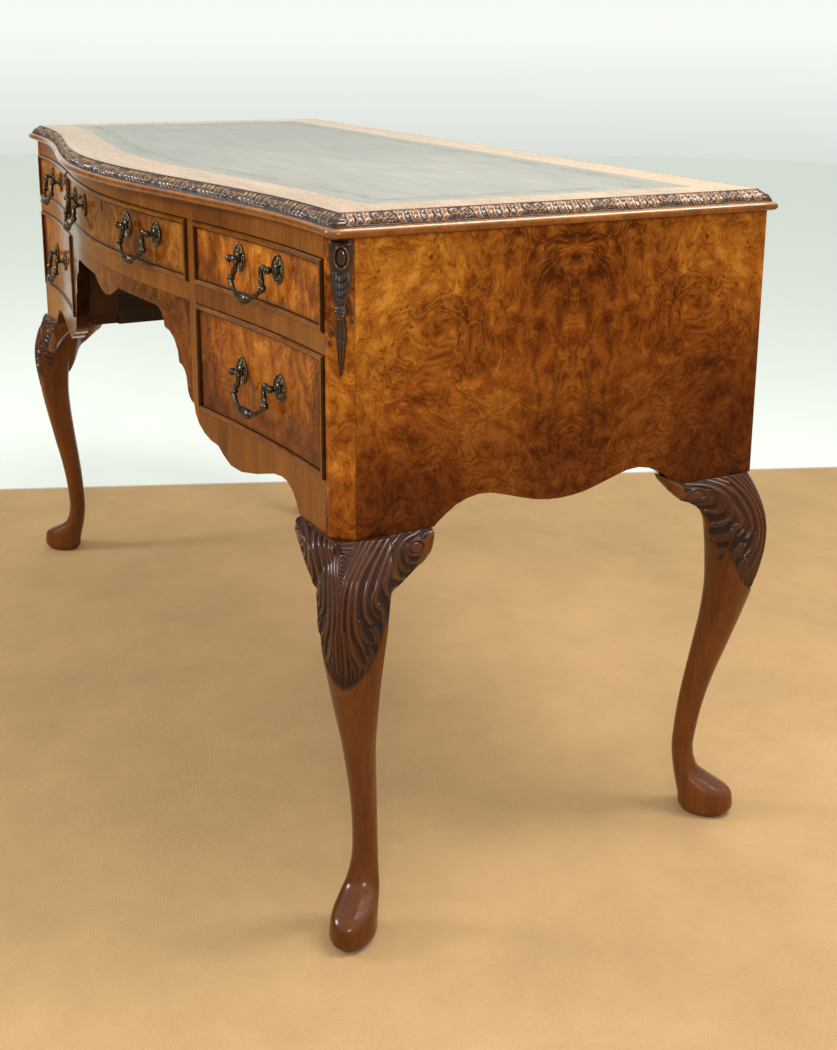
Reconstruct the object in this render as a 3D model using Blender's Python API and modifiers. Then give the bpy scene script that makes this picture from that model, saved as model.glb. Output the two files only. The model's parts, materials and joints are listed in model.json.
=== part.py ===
"""Serpentine-front kneehole writing desk, made as separate pieces.

Metres, +Z up, +X to the right as the sitter sees it, the front towards -Y. The pieces are placed
from the line of the top's front corners, and one empty then centres the whole desk on the origin.
"""

import math

import bmesh
import bpy
from mathutils import Matrix, Vector

# Overall sizes
DESK_HEIGHT = 0.790
TOP_WIDTH = 1.278
TOP_DEPTH = 0.518
TOP_BELLY = 0.075
WAVE_END_SPACE = 0.039
WAVE_DIVISIONS = 15
GAP = 0.0003
CUT_OVERRUN = 0.004
HOUSING = 0.003

# Edge moulding of the top and the leather
EDGE_HEIGHT = 0.024
EDGE_FILLET = 0.0016
BEAD_RADIUS = 0.0052
OVOLO_REACH = 0.0135
QUIRK = 0.0012
LEATHER_THICKNESS = 0.0016
LEATHER_BELLY = 0.060
LEATHER_MARGIN_SIDE = 0.047
LEATHER_MARGIN_BACK = 0.058
LEATHER_MARGIN_FRONT = 0.051

# Carcase
CARCASE_BELLY = 0.056
CARCASE_OVERHANG = 0.009
CANT = 0.0205
END_STILE = 0.008
SIDE_THICKNESS = 0.020
BACK_THICKNESS = 0.012
RAIL_BACK = 0.028
TOP_RAIL_SHARE = 0.0738
UPPER_DRAWER_SHARE = 0.2446
DRAWER_RAIL_SHARE = 0.0706
LOWER_DRAWER_SHARE = 0.4238
KNEEHOLE_SHARE = 0.4409
STILE_WIDTH = 0.017
APRON_THICKNESS = 0.020
PARTITION_THICKNESS = 0.013
PARTITION_SETBACK = 0.002
PARTITION_DROP_SHARE = 0.223
FLOOR_THICKNESS = 0.009
BACK_RAIL_DROP = 0.005

# Shaped lower edge of the front: drops below the centre rail and places along it
APRON_SHARE = 0.0674
PENDANT_SHARE = 0.0578
PENDANT_HALF = 0.060
KNEEHOLE_EDGE_SPACE = 0.0033
BRACKET_SHARE = 0.626
FRONT_ARCH_LENGTH_SHARE = 0.775
FRONT_ARCH_RISE_SHARE = 0.523
SIDE_ARCH_RISE_SHARE = 0.489
FRONT_EAR_SPACE = 0.097
SIDE_EAR_REACH = 0.110

# Legs
LEG_HEIGHT = 0.4545
KNEE_HALF = 0.038
FRONT_FOOT_OUT = 0.009
FRONT_FOOT_Y = 0.002
BACK_FOOT_INSET = 0.0215
FRONT_SPLAY = 0.0136
FRONT_KNEE_DRAW = 0.0045
FRONT_KNEE_TRIM = 0.0038
FRONT_TOP_DRAW = 0.0075
FRONT_LEAN = 0.0025
FRONT_TOP_ASIDE = 0.005
DRAW_START_SHARE = 0.45
DRAW_END_SHARE = 0.75
TOP_DRAW_START_SHARE = 0.93
RING_POINTS = 16
STUB_SIDE = 0.030
EAR_REACH = 0.108
FRONT_EAR_REACH = 0.096
EAR_DROP = 0.112
EAR_PROUD = 0.021
EAR_INSET = 0.022
EAR_BACK_SHARE = 0.5

# Drawers
DRAWER_CLEARANCE = 0.001
FRONT_THICKNESS = 0.018
BEAD_WIDTH = 0.006
BEAD_PROUD = 0.0035
BEAD_DEPTH = 0.010
BOX_CLEARANCE = 0.001
BOX_SIDE = 0.010
BOX_TOP_DROP = 0.008
BOX_BACK_SPACE = 0.022
BOTTOM_THICKNESS = 0.005
BOTTOM_RAISE = 0.007
GROOVE_DEPTH = 0.004
RUNNER_WIDTH = 0.020
RUNNER_HEIGHT = 0.014
GUIDE_HEIGHT = 0.012
STOP_HEIGHT = 0.004
STOP_WIDTH = 0.030
STOP_LENGTH = 0.018
STOP_PLACE_SHARE = 0.22

# Handles
POST_SPACING = 0.093
HANDLE_RAISE_UPPER_SHARE = 0.128
HANDLE_RAISE_LOWER_SHARE = 0.051
CENTRE_HANDLE_SHARE = 0.5425
PLATE_WIDTH_SHARE = 0.3675
PLATE_HEIGHT_SHARE = 0.42
PLATE_THICKNESS = 0.0022
PLATE_SEAT = 0.0007
POST_REACH = 0.0122
BALL_RADIUS = 0.0044
NECK_RADIUS = 0.0030
FLANGE_RADIUS = 0.0062
FLANGE_HEIGHT = 0.0024
SHANK_RADIUS = 0.0024
SHANK_HOLE_RADIUS = 0.0028
NUT_RADIUS = 0.0055
NUT_HEIGHT = 0.0030
EYE_RADIUS = 0.0020
EYE_DEPTH = 0.0038
BAIL_RADIUS = 0.0022
BAIL_PIN_RADIUS = 0.0015
BAIL_DROP_SHARE = 0.48
BAIL_BOW = 0.008
BAIL_ROUNDNESS_STEPS = 2
CARTOUCHE_RADIUS = 0.0052

# Lock of the centre drawer
LOCK_WIDTH = 0.060
LOCK_HEIGHT_SHARE = 0.42
LOCK_DEPTH = 0.010
LOCK_TOP_DROP = 0.0006
BOLT_WIDTH = 0.018
BOLT_THICKNESS = 0.0040
BOLT_HEIGHT_SHARE = 0.5
BOLT_TRAVEL = 0.008
BOLT_CLEARANCE = 0.0005
KEYHOLE_WIDTH = 0.0035
KEYHOLE_HEIGHT_SHARE = 0.1706
KEY_TUBE_WALL = 0.0012
KEYHOLE_SPACE = 0.0035

# Carved drops on the canted corners
DROP_LENGTH = 0.136
DROP_TOP_SPACE = 0.003
DROP_WIDTH = 0.018
DROP_RELIEF = 0.007

# Levels and lines worked out from the sizes above
WAVE_HALF_LENGTH = TOP_WIDTH / 2 - WAVE_END_SPACE
CARCASE_TOP = DESK_HEIGHT - EDGE_HEIGHT
CASE_HEIGHT = CARCASE_TOP - LEG_HEIGHT
CARCASE_HALF = TOP_WIDTH / 2 + CARCASE_OVERHANG
CARCASE_FRONT = -CARCASE_OVERHANG
CARCASE_BACK = TOP_DEPTH + CARCASE_OVERHANG
UPPER_TOP = CARCASE_TOP - CASE_HEIGHT * TOP_RAIL_SHARE
UPPER_BOTTOM = UPPER_TOP - CASE_HEIGHT * UPPER_DRAWER_SHARE
LOWER_TOP = UPPER_BOTTOM - CASE_HEIGHT * DRAWER_RAIL_SHARE
LOWER_BOTTOM = LOWER_TOP - CASE_HEIGHT * LOWER_DRAWER_SHARE
FOOT_BAND = LOWER_BOTTOM - LEG_HEIGHT
UPPER_HEIGHT = UPPER_TOP - UPPER_BOTTOM
LOWER_HEIGHT = LOWER_TOP - LOWER_BOTTOM
KNEEHOLE_HALF = CARCASE_HALF * KNEEHOLE_SHARE
KNEEHOLE_EDGE = KNEEHOLE_HALF + KNEEHOLE_EDGE_SPACE
PEDESTAL_INNER = KNEEHOLE_HALF + STILE_WIDTH
PEDESTAL_OUTER = CARCASE_HALF - CANT - END_STILE
SIDE_INNER_FACE = CARCASE_HALF - SIDE_THICKNESS
BACK_INNER_FACE = CARCASE_BACK - BACK_THICKNESS
PARTITION_BOTTOM = LOWER_BOTTOM - FOOT_BAND * PARTITION_DROP_SHARE
PARTITION_LOW_X = KNEEHOLE_HALF + PARTITION_SETBACK
PARTITION_HIGH_X = PARTITION_LOW_X + PARTITION_THICKNESS
APRON_LINE = LOWER_TOP - CASE_HEIGHT * APRON_SHARE
PENDANT_DEPTH = CASE_HEIGHT * PENDANT_SHARE
BRACKET_DROP = (APRON_LINE - LEG_HEIGHT) * BRACKET_SHARE
FRONT_EAR_END = CARCASE_HALF - FRONT_EAR_SPACE
FRONT_ARCH_LENGTH = (FRONT_EAR_END - KNEEHOLE_EDGE) * FRONT_ARCH_LENGTH_SHARE
FRONT_ARCH_RISE = FOOT_BAND * FRONT_ARCH_RISE_SHARE
SIDE_ARCH_RISE = FOOT_BAND * SIDE_ARCH_RISE_SHARE
SIDE_ARCH_LENGTH = (CARCASE_BACK - CARCASE_FRONT) / 2 - SIDE_EAR_REACH
CENTRE_HANDLE_X = KNEEHOLE_HALF * CENTRE_HANDLE_SHARE
PLATE_WIDTH = UPPER_HEIGHT * PLATE_WIDTH_SHARE
PLATE_HEIGHT = UPPER_HEIGHT * PLATE_HEIGHT_SHARE
BAIL_DROP = UPPER_HEIGHT * BAIL_DROP_SHARE
LOCK_HEIGHT = UPPER_HEIGHT * LOCK_HEIGHT_SHARE
BOLT_HEIGHT = LOCK_HEIGHT * BOLT_HEIGHT_SHARE
KEYHOLE_HEIGHT = UPPER_HEIGHT * KEYHOLE_HEIGHT_SHARE
KEYHOLE_DROP = BEAD_WIDTH + KEYHOLE_SPACE + KEYHOLE_HEIGHT / 2

# Outline shares: along the arch from the ear's end to its lobe, then the rise of the edge there
front_arch_shares = [
    (0.0, 0.0), (0.02, 0.14), (0.05, 0.46), (0.094, 0.75), (0.158, 0.95), (0.217, 1.0),
    (0.315, 0.93), (0.424, 0.72), (0.532, 0.51), (0.719, 0.25), (0.847, 0.28), (0.936, 0.54), (1.0, 0.82),
]
side_arch_shares = [
    (0.0, 0.0), (0.044, 0.22), (0.10, 0.46), (0.17, 0.72), (0.25, 0.9), (0.34, 1.0), (0.44, 0.96),
    (0.56, 0.78), (0.68, 0.57), (0.80, 0.39), (0.90, 0.31), (1.0, 0.28),
]
# Bracket cusps: share of the kneehole edge, share of the drop, and whether the arc leaves upright
bracket_shares = [(0.941, 0.208, False), (0.872, 0.415, True), (0.740, 0.774, True), (0.651, 1.0, True)]

# Leg sections: height, centre, depth and width as shares, then the squareness of the section
leg_shares = [
    (1.0, -0.21, 0.95, 0.95, 1.35), (0.98, -0.08, 0.975, 0.99, 1.35), (0.957, 0.053, 1.0, 1.03, 1.35),
    (0.909, 0.263, 1.026, 1.07, 1.35), (0.854, 0.434, 1.008, 1.06, 1.35), (0.805, 0.474, 0.974, 1.02, 1.37),
    (0.748, 0.447, 0.895, 0.92, 1.4), (0.682, 0.355, 0.776, 0.80, 1.45), (0.598, 0.158, 0.658, 0.655, 1.6),
    (0.5, -0.132, 0.553, 0.487, 1.8), (0.405, -0.421, 0.458, 0.405, 2.0), (0.319, -0.632, 0.405, 0.37, 2.0),
    (0.238, -0.763, 0.368, 0.365, 2.0), (0.185, -0.805, 0.353, 0.385, 2.0), (0.147, -0.745, 0.374, 0.43, 2.0),
    (0.115, -0.60, 0.46, 0.51, 2.0), (0.093, -0.34, 0.67, 0.58, 2.0), (0.073, -0.09, 0.87, 0.63, 2.0),
    (0.042, 0.026, 0.905, 0.655, 2.0), (0.014, 0.026, 0.86, 0.63, 2.0), (0.0, 0.0, 0.72, 0.52, 2.0),
]
# Knee block: share of its reach, share of its drop and share of how proud it stands
ear_shares = [
    (0.36, 1.0, 1.0), (0.45, 0.84, 0.9), (0.53, 0.62, 0.75), (0.68, 0.47, 0.6), (0.83, 0.34, 0.5),
    (0.94, 0.20, 0.42), (1.0, 0.08, 0.3),
]
# Carved drop: share of its length, share of its width and share of its relief
drop_shares = [
    (0.0, 0.55, 0.45), (0.04, 0.9, 0.7), (0.11, 1.0, 1.0), (0.20, 0.95, 0.95), (0.27, 0.8, 0.6),
    (0.36, 0.92, 0.85), (0.50, 0.85, 0.85), (0.60, 0.55, 0.6), (0.66, 0.4, 0.5), (0.70, 0.5, 0.65),
    (0.76, 0.72, 0.5), (0.86, 0.6, 0.45), (0.94, 0.35, 0.4), (1.0, 0.12, 0.2),
]
# Bail: share of the half spacing of the posts, share of the drop, thickness share
bail_shares = [
    (0.965, 0.0, 0.68), (0.885, 0.0, 0.68), (0.84, -0.02, 1.0), (0.76, -0.05, 1.1), (0.685, 0.01, 1.1),
    (0.66, 0.12, 1.05), (0.685, 0.26, 1.05), (0.75, 0.41, 1.2), (0.80, 0.51, 1.45), (0.81, 0.58, 1.6),
    (0.75, 0.66, 1.1), (0.61, 0.79, 0.95), (0.44, 0.90, 1.05), (0.27, 0.96, 1.5), (0.13, 0.985, 2.1),
]
# Knee block section: share of how proud it stands, then share of its own drop
ear_section_shares = [(0.1, 0.0), (1.0, 0.225), (1.0, 0.45), (0.55, 0.835), (0.0, 1.0)]
# Cock bead section: share of its height above the front, then share of its width
bead_section_shares = [(-1, 1.0), (-1, 0.0), (0.55, 0.0), (1.0, 0.25), (1.0, 0.75), (0.55, 1.0)]
# Carved drop section: share of its half width, then share of its relief
drop_section_shares = [(-1, 0), (-0.8, 0.55), (-0.35, 0.95), (0.35, 0.95), (0.8, 0.55), (1, 0)]
PLATE_WAIST_SHARE = 0.88

PARTS = bpy.data.collections.new("writing_desk")
CUTTERS = bpy.data.collections.new("cutters")


def clear_scene():
    for item in list(bpy.data.objects):
        bpy.data.objects.remove(item)
    bpy.context.scene.collection.children.link(PARTS)
    bpy.context.scene.collection.children.link(CUTTERS)
    CUTTERS.hide_render = True


def material(name, colour, roughness, metallic=0.0):
    made = bpy.data.materials.new(name)
    made.use_nodes = True
    shader = made.node_tree.nodes["Principled BSDF"]
    shader.inputs["Base Color"].default_value = (*colour, 1.0)
    shader.inputs["Roughness"].default_value = roughness
    shader.inputs["Metallic"].default_value = metallic
    made.diffuse_color = (*colour, 1.0)
    return made


BURR = material("burr_walnut", (0.30, 0.13, 0.045), 0.22)
CROSSBAND = material("crossbanded_walnut", (0.33, 0.16, 0.06), 0.25)
CARVED = material("carved_walnut", (0.13, 0.055, 0.028), 0.35)
LEG_WALNUT = material("leg_walnut", (0.17, 0.065, 0.028), 0.28)
LINING = material("oak_lining", (0.42, 0.28, 0.15), 0.6)
LEATHER = material("green_leather", (0.09, 0.14, 0.10), 0.45)
BRASS = material("aged_brass", (0.20, 0.16, 0.10), 0.38, 0.9)


# Outlines and lines

def wave(x, belly):
    """Depth of the serpentine line at x: a belly in the middle that dies away at both ends."""
    reach = min(abs(x) / WAVE_HALF_LENGTH, 1)
    return -belly * (1 + math.cos(math.pi * reach)) / 2


def stations(low, high):
    """Both ends of a serpentine piece and the points of the shared grid that lie between them."""
    step = WAVE_HALF_LENGTH / WAVE_DIVISIONS
    grid = [index * step for index in range(1 - WAVE_DIVISIONS, WAVE_DIVISIONS)]
    return [low] + [x for x in grid if low + step / 5 < x < high - step / 5] + [high]


def front_y(x):
    """Line of the carcase front."""
    return CARCASE_FRONT + wave(x, CARCASE_BELLY)


def serpentine_plan(low, high, depth=None, back=None, start=0):
    """Plan outline with the carcase's serpentine front, and a straight or a parallel back."""
    front = [(x, front_y(x) + start) for x in stations(low, high)]
    if back is None:
        return front + [(x, y + depth - start) for x, y in reversed(front)]
    return front + [(high, back), (low, back)]


def quarter(start, end, upright, count=5):
    """Points of a quarter ellipse from start to end, leaving start upright or level."""
    points = []
    for index in range(1, count + 1):
        angle = math.pi / 2 * index / count
        along, across = math.sin(angle), 1 - math.cos(angle)
        share_x, share_z = (across, along) if upright else (along, across)
        points.append((start[0] + (end[0] - start[0]) * share_x, start[1] + (end[1] - start[1]) * share_z))
    return points


def front_edge():
    """Shaped lower edge of the front, from the middle of the pendant to the right corner."""
    half = [(FRONT_EAR_END, LEG_HEIGHT)]
    for along, rise in front_arch_shares[1:]:
        half.append((FRONT_EAR_END - along * FRONT_ARCH_LENGTH, LEG_HEIGHT + rise * FRONT_ARCH_RISE))
    scroll_top = (KNEEHOLE_EDGE, APRON_LINE - BRACKET_DROP)
    half += quarter(half[-1], scroll_top, False)
    for x_share, z_share, upright in bracket_shares:
        end = (KNEEHOLE_EDGE * x_share, APRON_LINE - BRACKET_DROP * (1 - z_share))
        half += quarter(half[-1], end, upright, 4)
    for index in range(7):
        x = PENDANT_HALF * (1 - index / 6)
        drop = PENDANT_DEPTH * math.cos(math.pi / 2 * x / PENDANT_HALF)
        half.append((x, APRON_LINE - drop))
    return half[::-1]


def front_void():
    """Everything below the shaped edge, as one outline that a cutter is made from."""
    right = front_edge()
    left = [(-x, z) for x, z in reversed(right[1:])]
    outer, low = CARCASE_HALF, LEG_HEIGHT
    edge = [(-outer, low), *left, *right, (outer, low)]
    return edge + [(outer, low - EAR_DROP), (-outer, low - EAR_DROP)]


def side_outline():
    """Side panel seen from the side: two arches with a lobe between them, ear ends at both legs."""
    front = CARCASE_FRONT + CANT + GAP
    arch_start = CARCASE_FRONT + SIDE_EAR_REACH
    middle = arch_start + SIDE_ARCH_LENGTH
    half = []
    for along, rise in side_arch_shares:
        half.append((arch_start + along * SIDE_ARCH_LENGTH, LEG_HEIGHT + rise * SIDE_ARCH_RISE))
    other = [(2 * middle - y, z) for y, z in reversed(half[:-1])]
    top = CARCASE_TOP - GAP
    return [(front, LEG_HEIGHT), *half, *other, (CARCASE_BACK, LEG_HEIGHT), (CARCASE_BACK, top), (front, top)]


# Meshes

PLANES = {
    "plan": Matrix(((1, 0, 0), (0, 1, 0), (0, 0, 1))),
    "front": Matrix(((1, 0, 0), (0, 0, -1), (0, 1, 0))),
    "side": Matrix(((0, 0, 1), (1, 0, 0), (0, 1, 0))),
}
ACROSS = {"plan": Vector((0, 0, 1)), "front": Vector((0, 1, 0)), "side": Vector((1, 0, 0))}


def evaluated_mesh(item):
    """Mesh of an object with its modifiers or curve settings, in the desk's frame."""
    bpy.context.scene.collection.objects.link(item)
    bpy.context.view_layer.update()
    mesh = bpy.data.meshes.new_from_object(item.evaluated_get(bpy.context.evaluated_depsgraph_get()))
    mesh.transform(item.matrix_world)
    bpy.data.objects.remove(item)
    shape = bmesh.new()
    shape.from_mesh(mesh)
    bmesh.ops.remove_doubles(shape, verts=shape.verts, dist=GAP / 30)
    bmesh.ops.recalc_face_normals(shape, faces=shape.faces)
    shape.to_mesh(mesh)
    shape.free()
    return mesh


def outline_mesh(outlines, low, high, plane):
    """Flat outlines made solid between two levels across their plane."""
    curve = bpy.data.curves.new("outline", "CURVE")
    curve.dimensions = "2D"
    curve.fill_mode = "BOTH"
    curve.extrude = (high - low) / 2
    for outline in outlines:
        spline = curve.splines.new("POLY")
        spline.points.add(len(outline) - 1)
        for point, (a, b) in zip(spline.points, outline):
            point.co = (a, b, 0, 1)
        spline.use_cyclic_u = True
    item = bpy.data.objects.new("outline", curve)
    item.matrix_world = Matrix.Translation(ACROSS[plane] * (low + high) / 2) @ PLANES[plane].to_4x4()
    return evaluated_mesh(item)


def box_mesh(x, y, z):
    """Box between two values on each axis."""
    sides = Vector((x[1] - x[0], y[1] - y[0], z[1] - z[0]))
    middle = Vector((x[0] + x[1], y[0] + y[1], z[0] + z[1])) / 2
    shape = bmesh.new()
    bmesh.ops.create_cube(shape, size=1, matrix=Matrix.Translation(middle) @ Matrix.Diagonal((*sides, 1)))
    mesh = bpy.data.meshes.new("box")
    shape.to_mesh(mesh)
    shape.free()
    return mesh


def loft_mesh(rings, endless=False):
    """Skin over rings with the same number of points, closed at both ends or run round to its start."""
    shape = bmesh.new()
    loops = [[shape.verts.new(point) for point in ring] for ring in rings]
    for first, second in zip(loops, loops[1:] + loops[:1] if endless else loops[1:]):
        for index in range(len(first)):
            following = (index + 1) % len(first)
            shape.faces.new((first[index], first[following], second[following], second[index]))
    if not endless:
        shape.faces.new(loops[0][::-1])
        shape.faces.new(loops[-1])
    bmesh.ops.recalc_face_normals(shape, faces=shape.faces)
    mesh = bpy.data.meshes.new("loft")
    shape.to_mesh(mesh)
    shape.free()
    return mesh


def turned_mesh(profile, steps, matrix):
    """Turned shape about its own Z axis, from a profile of radius and height that runs downwards."""
    mesh = bpy.data.meshes.new("profile")
    edges = [(index, index + 1) for index in range(len(profile) - 1)]
    mesh.from_pydata([(radius, 0, height) for radius, height in profile], edges, [])
    item = bpy.data.objects.new("turned", mesh)
    screw = item.modifiers.new("turn", "SCREW")
    screw.steps = steps
    screw.render_steps = steps
    screw.use_merge_vertices = True
    screw.merge_threshold = GAP / 30
    item.matrix_world = matrix
    return evaluated_mesh(item)


def tube_mesh(points, radii, depth, matrix):
    """Round bar along points, with its own thickness at each of them."""
    curve = bpy.data.curves.new("bar", "CURVE")
    curve.dimensions = "3D"
    curve.bevel_depth = depth
    curve.bevel_resolution = BAIL_ROUNDNESS_STEPS
    curve.use_fill_caps = True
    spline = curve.splines.new("POLY")
    spline.points.add(len(points) - 1)
    for point, place, radius in zip(spline.points, points, radii):
        point.co = (*place, 1)
        point.radius = radius
    item = bpy.data.objects.new("bar", curve)
    item.matrix_world = matrix
    return evaluated_mesh(item)


def mirrored(mesh):
    """The same mesh on the other side of the desk."""
    other = mesh.copy()
    other.transform(Matrix.Diagonal((-1, 1, 1, 1)))
    other.flip_normals()
    return other


def add_part(name, meshes, look, parent, origin=(0, 0, 0), smooth=False):
    """One named object from meshes in the desk's frame, with its origin where it turns or slides."""
    shape = bmesh.new()
    for mesh in meshes:
        shape.from_mesh(mesh)
    bmesh.ops.translate(shape, verts=shape.verts, vec=-Vector(origin))
    mesh = bpy.data.meshes.new(name)
    shape.to_mesh(mesh)
    shape.free()
    mesh.materials.append(look)
    if smooth:
        mesh.shade_smooth()
        mesh.set_sharp_from_angle(angle=math.radians(40))
    item = bpy.data.objects.new(name, mesh)
    PARTS.objects.link(item)
    item.parent = parent
    item.location = Vector(origin) - parent_place(parent)
    return item


def parent_place(parent):
    """Where a parent empty lies in the desk's frame."""
    place = Vector((0, 0, 0))
    while parent and parent is not DESK:
        place += parent.location
        parent = parent.parent
    return place


def add_empty(name, parent, place):
    item = bpy.data.objects.new(name, None)
    PARTS.objects.link(item)
    item.parent = parent
    item.location = Vector(place) - parent_place(parent)
    return item


def cut(item, mesh, name, operation="DIFFERENCE"):
    """Cut a mesh away from a part, or join it, with the tool kept apart from the parts."""
    shape = mesh.copy()
    shape.transform(Matrix.Translation(-Vector(item.location) - parent_place(item.parent)))
    tool = bpy.data.objects.new(name, shape)
    CUTTERS.objects.link(tool)
    tool.parent = item
    tool.hide_render = True
    tool.display_type = "WIRE"
    step = item.modifiers.new(name, "BOOLEAN")
    step.operation = operation
    step.solver = "EXACT"
    step.object = tool


# Top

def top_line():
    """Fillet line of the top's front, left to right."""
    return [Vector((x, wave(x, TOP_BELLY))) for x in stations(-TOP_WIDTH / 2, TOP_WIDTH / 2)]


def leather_outline(inset):
    half = TOP_WIDTH / 2 - LEATHER_MARGIN_SIDE - inset
    back = TOP_DEPTH - LEATHER_MARGIN_BACK - inset
    front = [(x, LEATHER_MARGIN_FRONT + inset + wave(x, LEATHER_BELLY)) for x in stations(-half, half)]
    return front + [(half, back), (-half, back)]


def make_top():
    outline = [tuple(point) for point in top_line()]
    outline += [(TOP_WIDTH / 2, TOP_DEPTH), (-TOP_WIDTH / 2, TOP_DEPTH)]
    board = add_part("top_board", [outline_mesh([outline], CARCASE_TOP, DESK_HEIGHT, "plan")], CROSSBAND, DESK)
    bed = DESK_HEIGHT - LEATHER_THICKNESS - GAP
    recess = outline_mesh([leather_outline(0)], bed, DESK_HEIGHT + CUT_OVERRUN, "plan")
    cut(board, recess, "leather_recess")
    leather = outline_mesh([leather_outline(GAP)], bed + GAP, DESK_HEIGHT, "plan")
    add_part("leather_writing_surface", [leather], LEATHER, DESK)


def edge_profile():
    """Edge moulding section: distance out from the board and distance below its top."""
    profile = [(GAP, 0), (EDGE_FILLET, 0), (EDGE_FILLET, QUIRK)]
    bead_top = EDGE_HEIGHT - 2 * BEAD_RADIUS
    ovolo_low = bead_top - QUIRK
    for index in range(1, 5):
        angle = math.pi / 2 * index / 4
        out = EDGE_FILLET + (OVOLO_REACH - EDGE_FILLET) * math.sin(angle)
        profile.append((out, QUIRK + (ovolo_low - QUIRK) * (1 - math.cos(angle))))
    bead_out = edge_projection() - BEAD_RADIUS
    for index in range(6):
        angle = math.pi * index / 5
        profile.append((bead_out + BEAD_RADIUS * math.sin(angle), bead_top + BEAD_RADIUS * (1 - math.cos(angle))))
    profile.append((GAP, EDGE_HEIGHT))
    return profile


def edge_projection():
    """How far the moulding stands out from the top board."""
    return OVOLO_REACH + BEAD_RADIUS - QUIRK


def make_edge_moulding():
    """Moulding round the whole top, mitred at the four square corners."""
    half = TOP_WIDTH / 2
    line = top_line() + [Vector((half, TOP_DEPTH)), Vector((-half, TOP_DEPTH))]
    rings = []
    for index, place in enumerate(line):
        before = (place - line[index - 1]).normalized()
        after = (line[(index + 1) % len(line)] - place).normalized()
        out_before, out_after = Vector((before.y, -before.x)), Vector((after.y, -after.x))
        aside = (out_before + out_after) / (1 + out_before.dot(out_after))
        ring = []
        for out, below in edge_profile():
            ring.append((place.x + aside.x * out, place.y + aside.y * out, DESK_HEIGHT - below))
        rings.append(ring)
    add_part("edge_moulding", [loft_mesh(rings, endless=True)], CARVED, DESK)


# Carcase

def pair(name, mesh, look, extra=None, tools=()):
    """A right-hand piece and its mirror image on the left, with what is glued to or cut from both."""
    for side_name, flip in (("right", False), ("left", True)):
        item = add_part(f"{name}_{side_name}", [mirrored(mesh) if flip else mesh], look, DESK)
        if extra:
            cut(item, mirrored(extra) if flip else extra, f"{name}_glued_{side_name}", "UNION")
        for index, tool in enumerate(tools):
            cut(item, mirrored(tool) if flip else tool, f"{name}_cut_{index}_{side_name}")


def joined(meshes):
    """Separate meshes as one."""
    shape = bmesh.new()
    for mesh in meshes:
        shape.from_mesh(mesh)
    whole = bpy.data.meshes.new("joined")
    shape.to_mesh(whole)
    shape.free()
    return whole


def make_sides():
    """Side panels with their runners, guides and kickers, and the canted corner posts."""
    panel = outline_mesh([side_outline()], SIDE_INNER_FACE, CARCASE_HALF, "side")
    wall, face = SIDE_INNER_FACE + HOUSING, PEDESTAL_OUTER
    top, low = UPPER_BOTTOM, UPPER_BOTTOM - RUNNER_HEIGHT
    guide_top = UPPER_BOTTOM + GUIDE_HEIGHT
    near = SIDE_INNER_FACE - RUNNER_WIDTH
    runner = [(near, low), (wall, low), (wall, guide_top), (face, guide_top), (face, top), (near, top)]
    kicker = rectangle(near, wall, UPPER_TOP + GAP, CARCASE_TOP - 2 * GAP)
    guide = rectangle(face, wall, LOWER_BOTTOM + GAP, LOWER_BOTTOM + GUIDE_HEIGHT)
    strips = outline_mesh([runner, kicker, guide], RAIL_BACK + GAP, BACK_INNER_FACE - GAP, "front")
    pair("side_panel", panel, BURR, strips)
    inner, outer = PEDESTAL_OUTER + GAP, CARCASE_HALF
    behind = CARCASE_FRONT + CANT
    post = [(inner, CARCASE_FRONT), (outer - CANT, CARCASE_FRONT), (outer, behind), (inner, behind)]
    post_mesh = outline_mesh([post], LEG_HEIGHT, CARCASE_TOP - GAP, "plan")
    pair("corner_post", post_mesh, BURR, corner_drop())


def lower_cutter():
    """Tool that shapes the lower edge of every front piece."""
    return outline_mesh([front_void()], CARCASE_FRONT - 2 * CARCASE_BELLY, RAIL_BACK + CUT_OVERRUN, "front")


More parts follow.
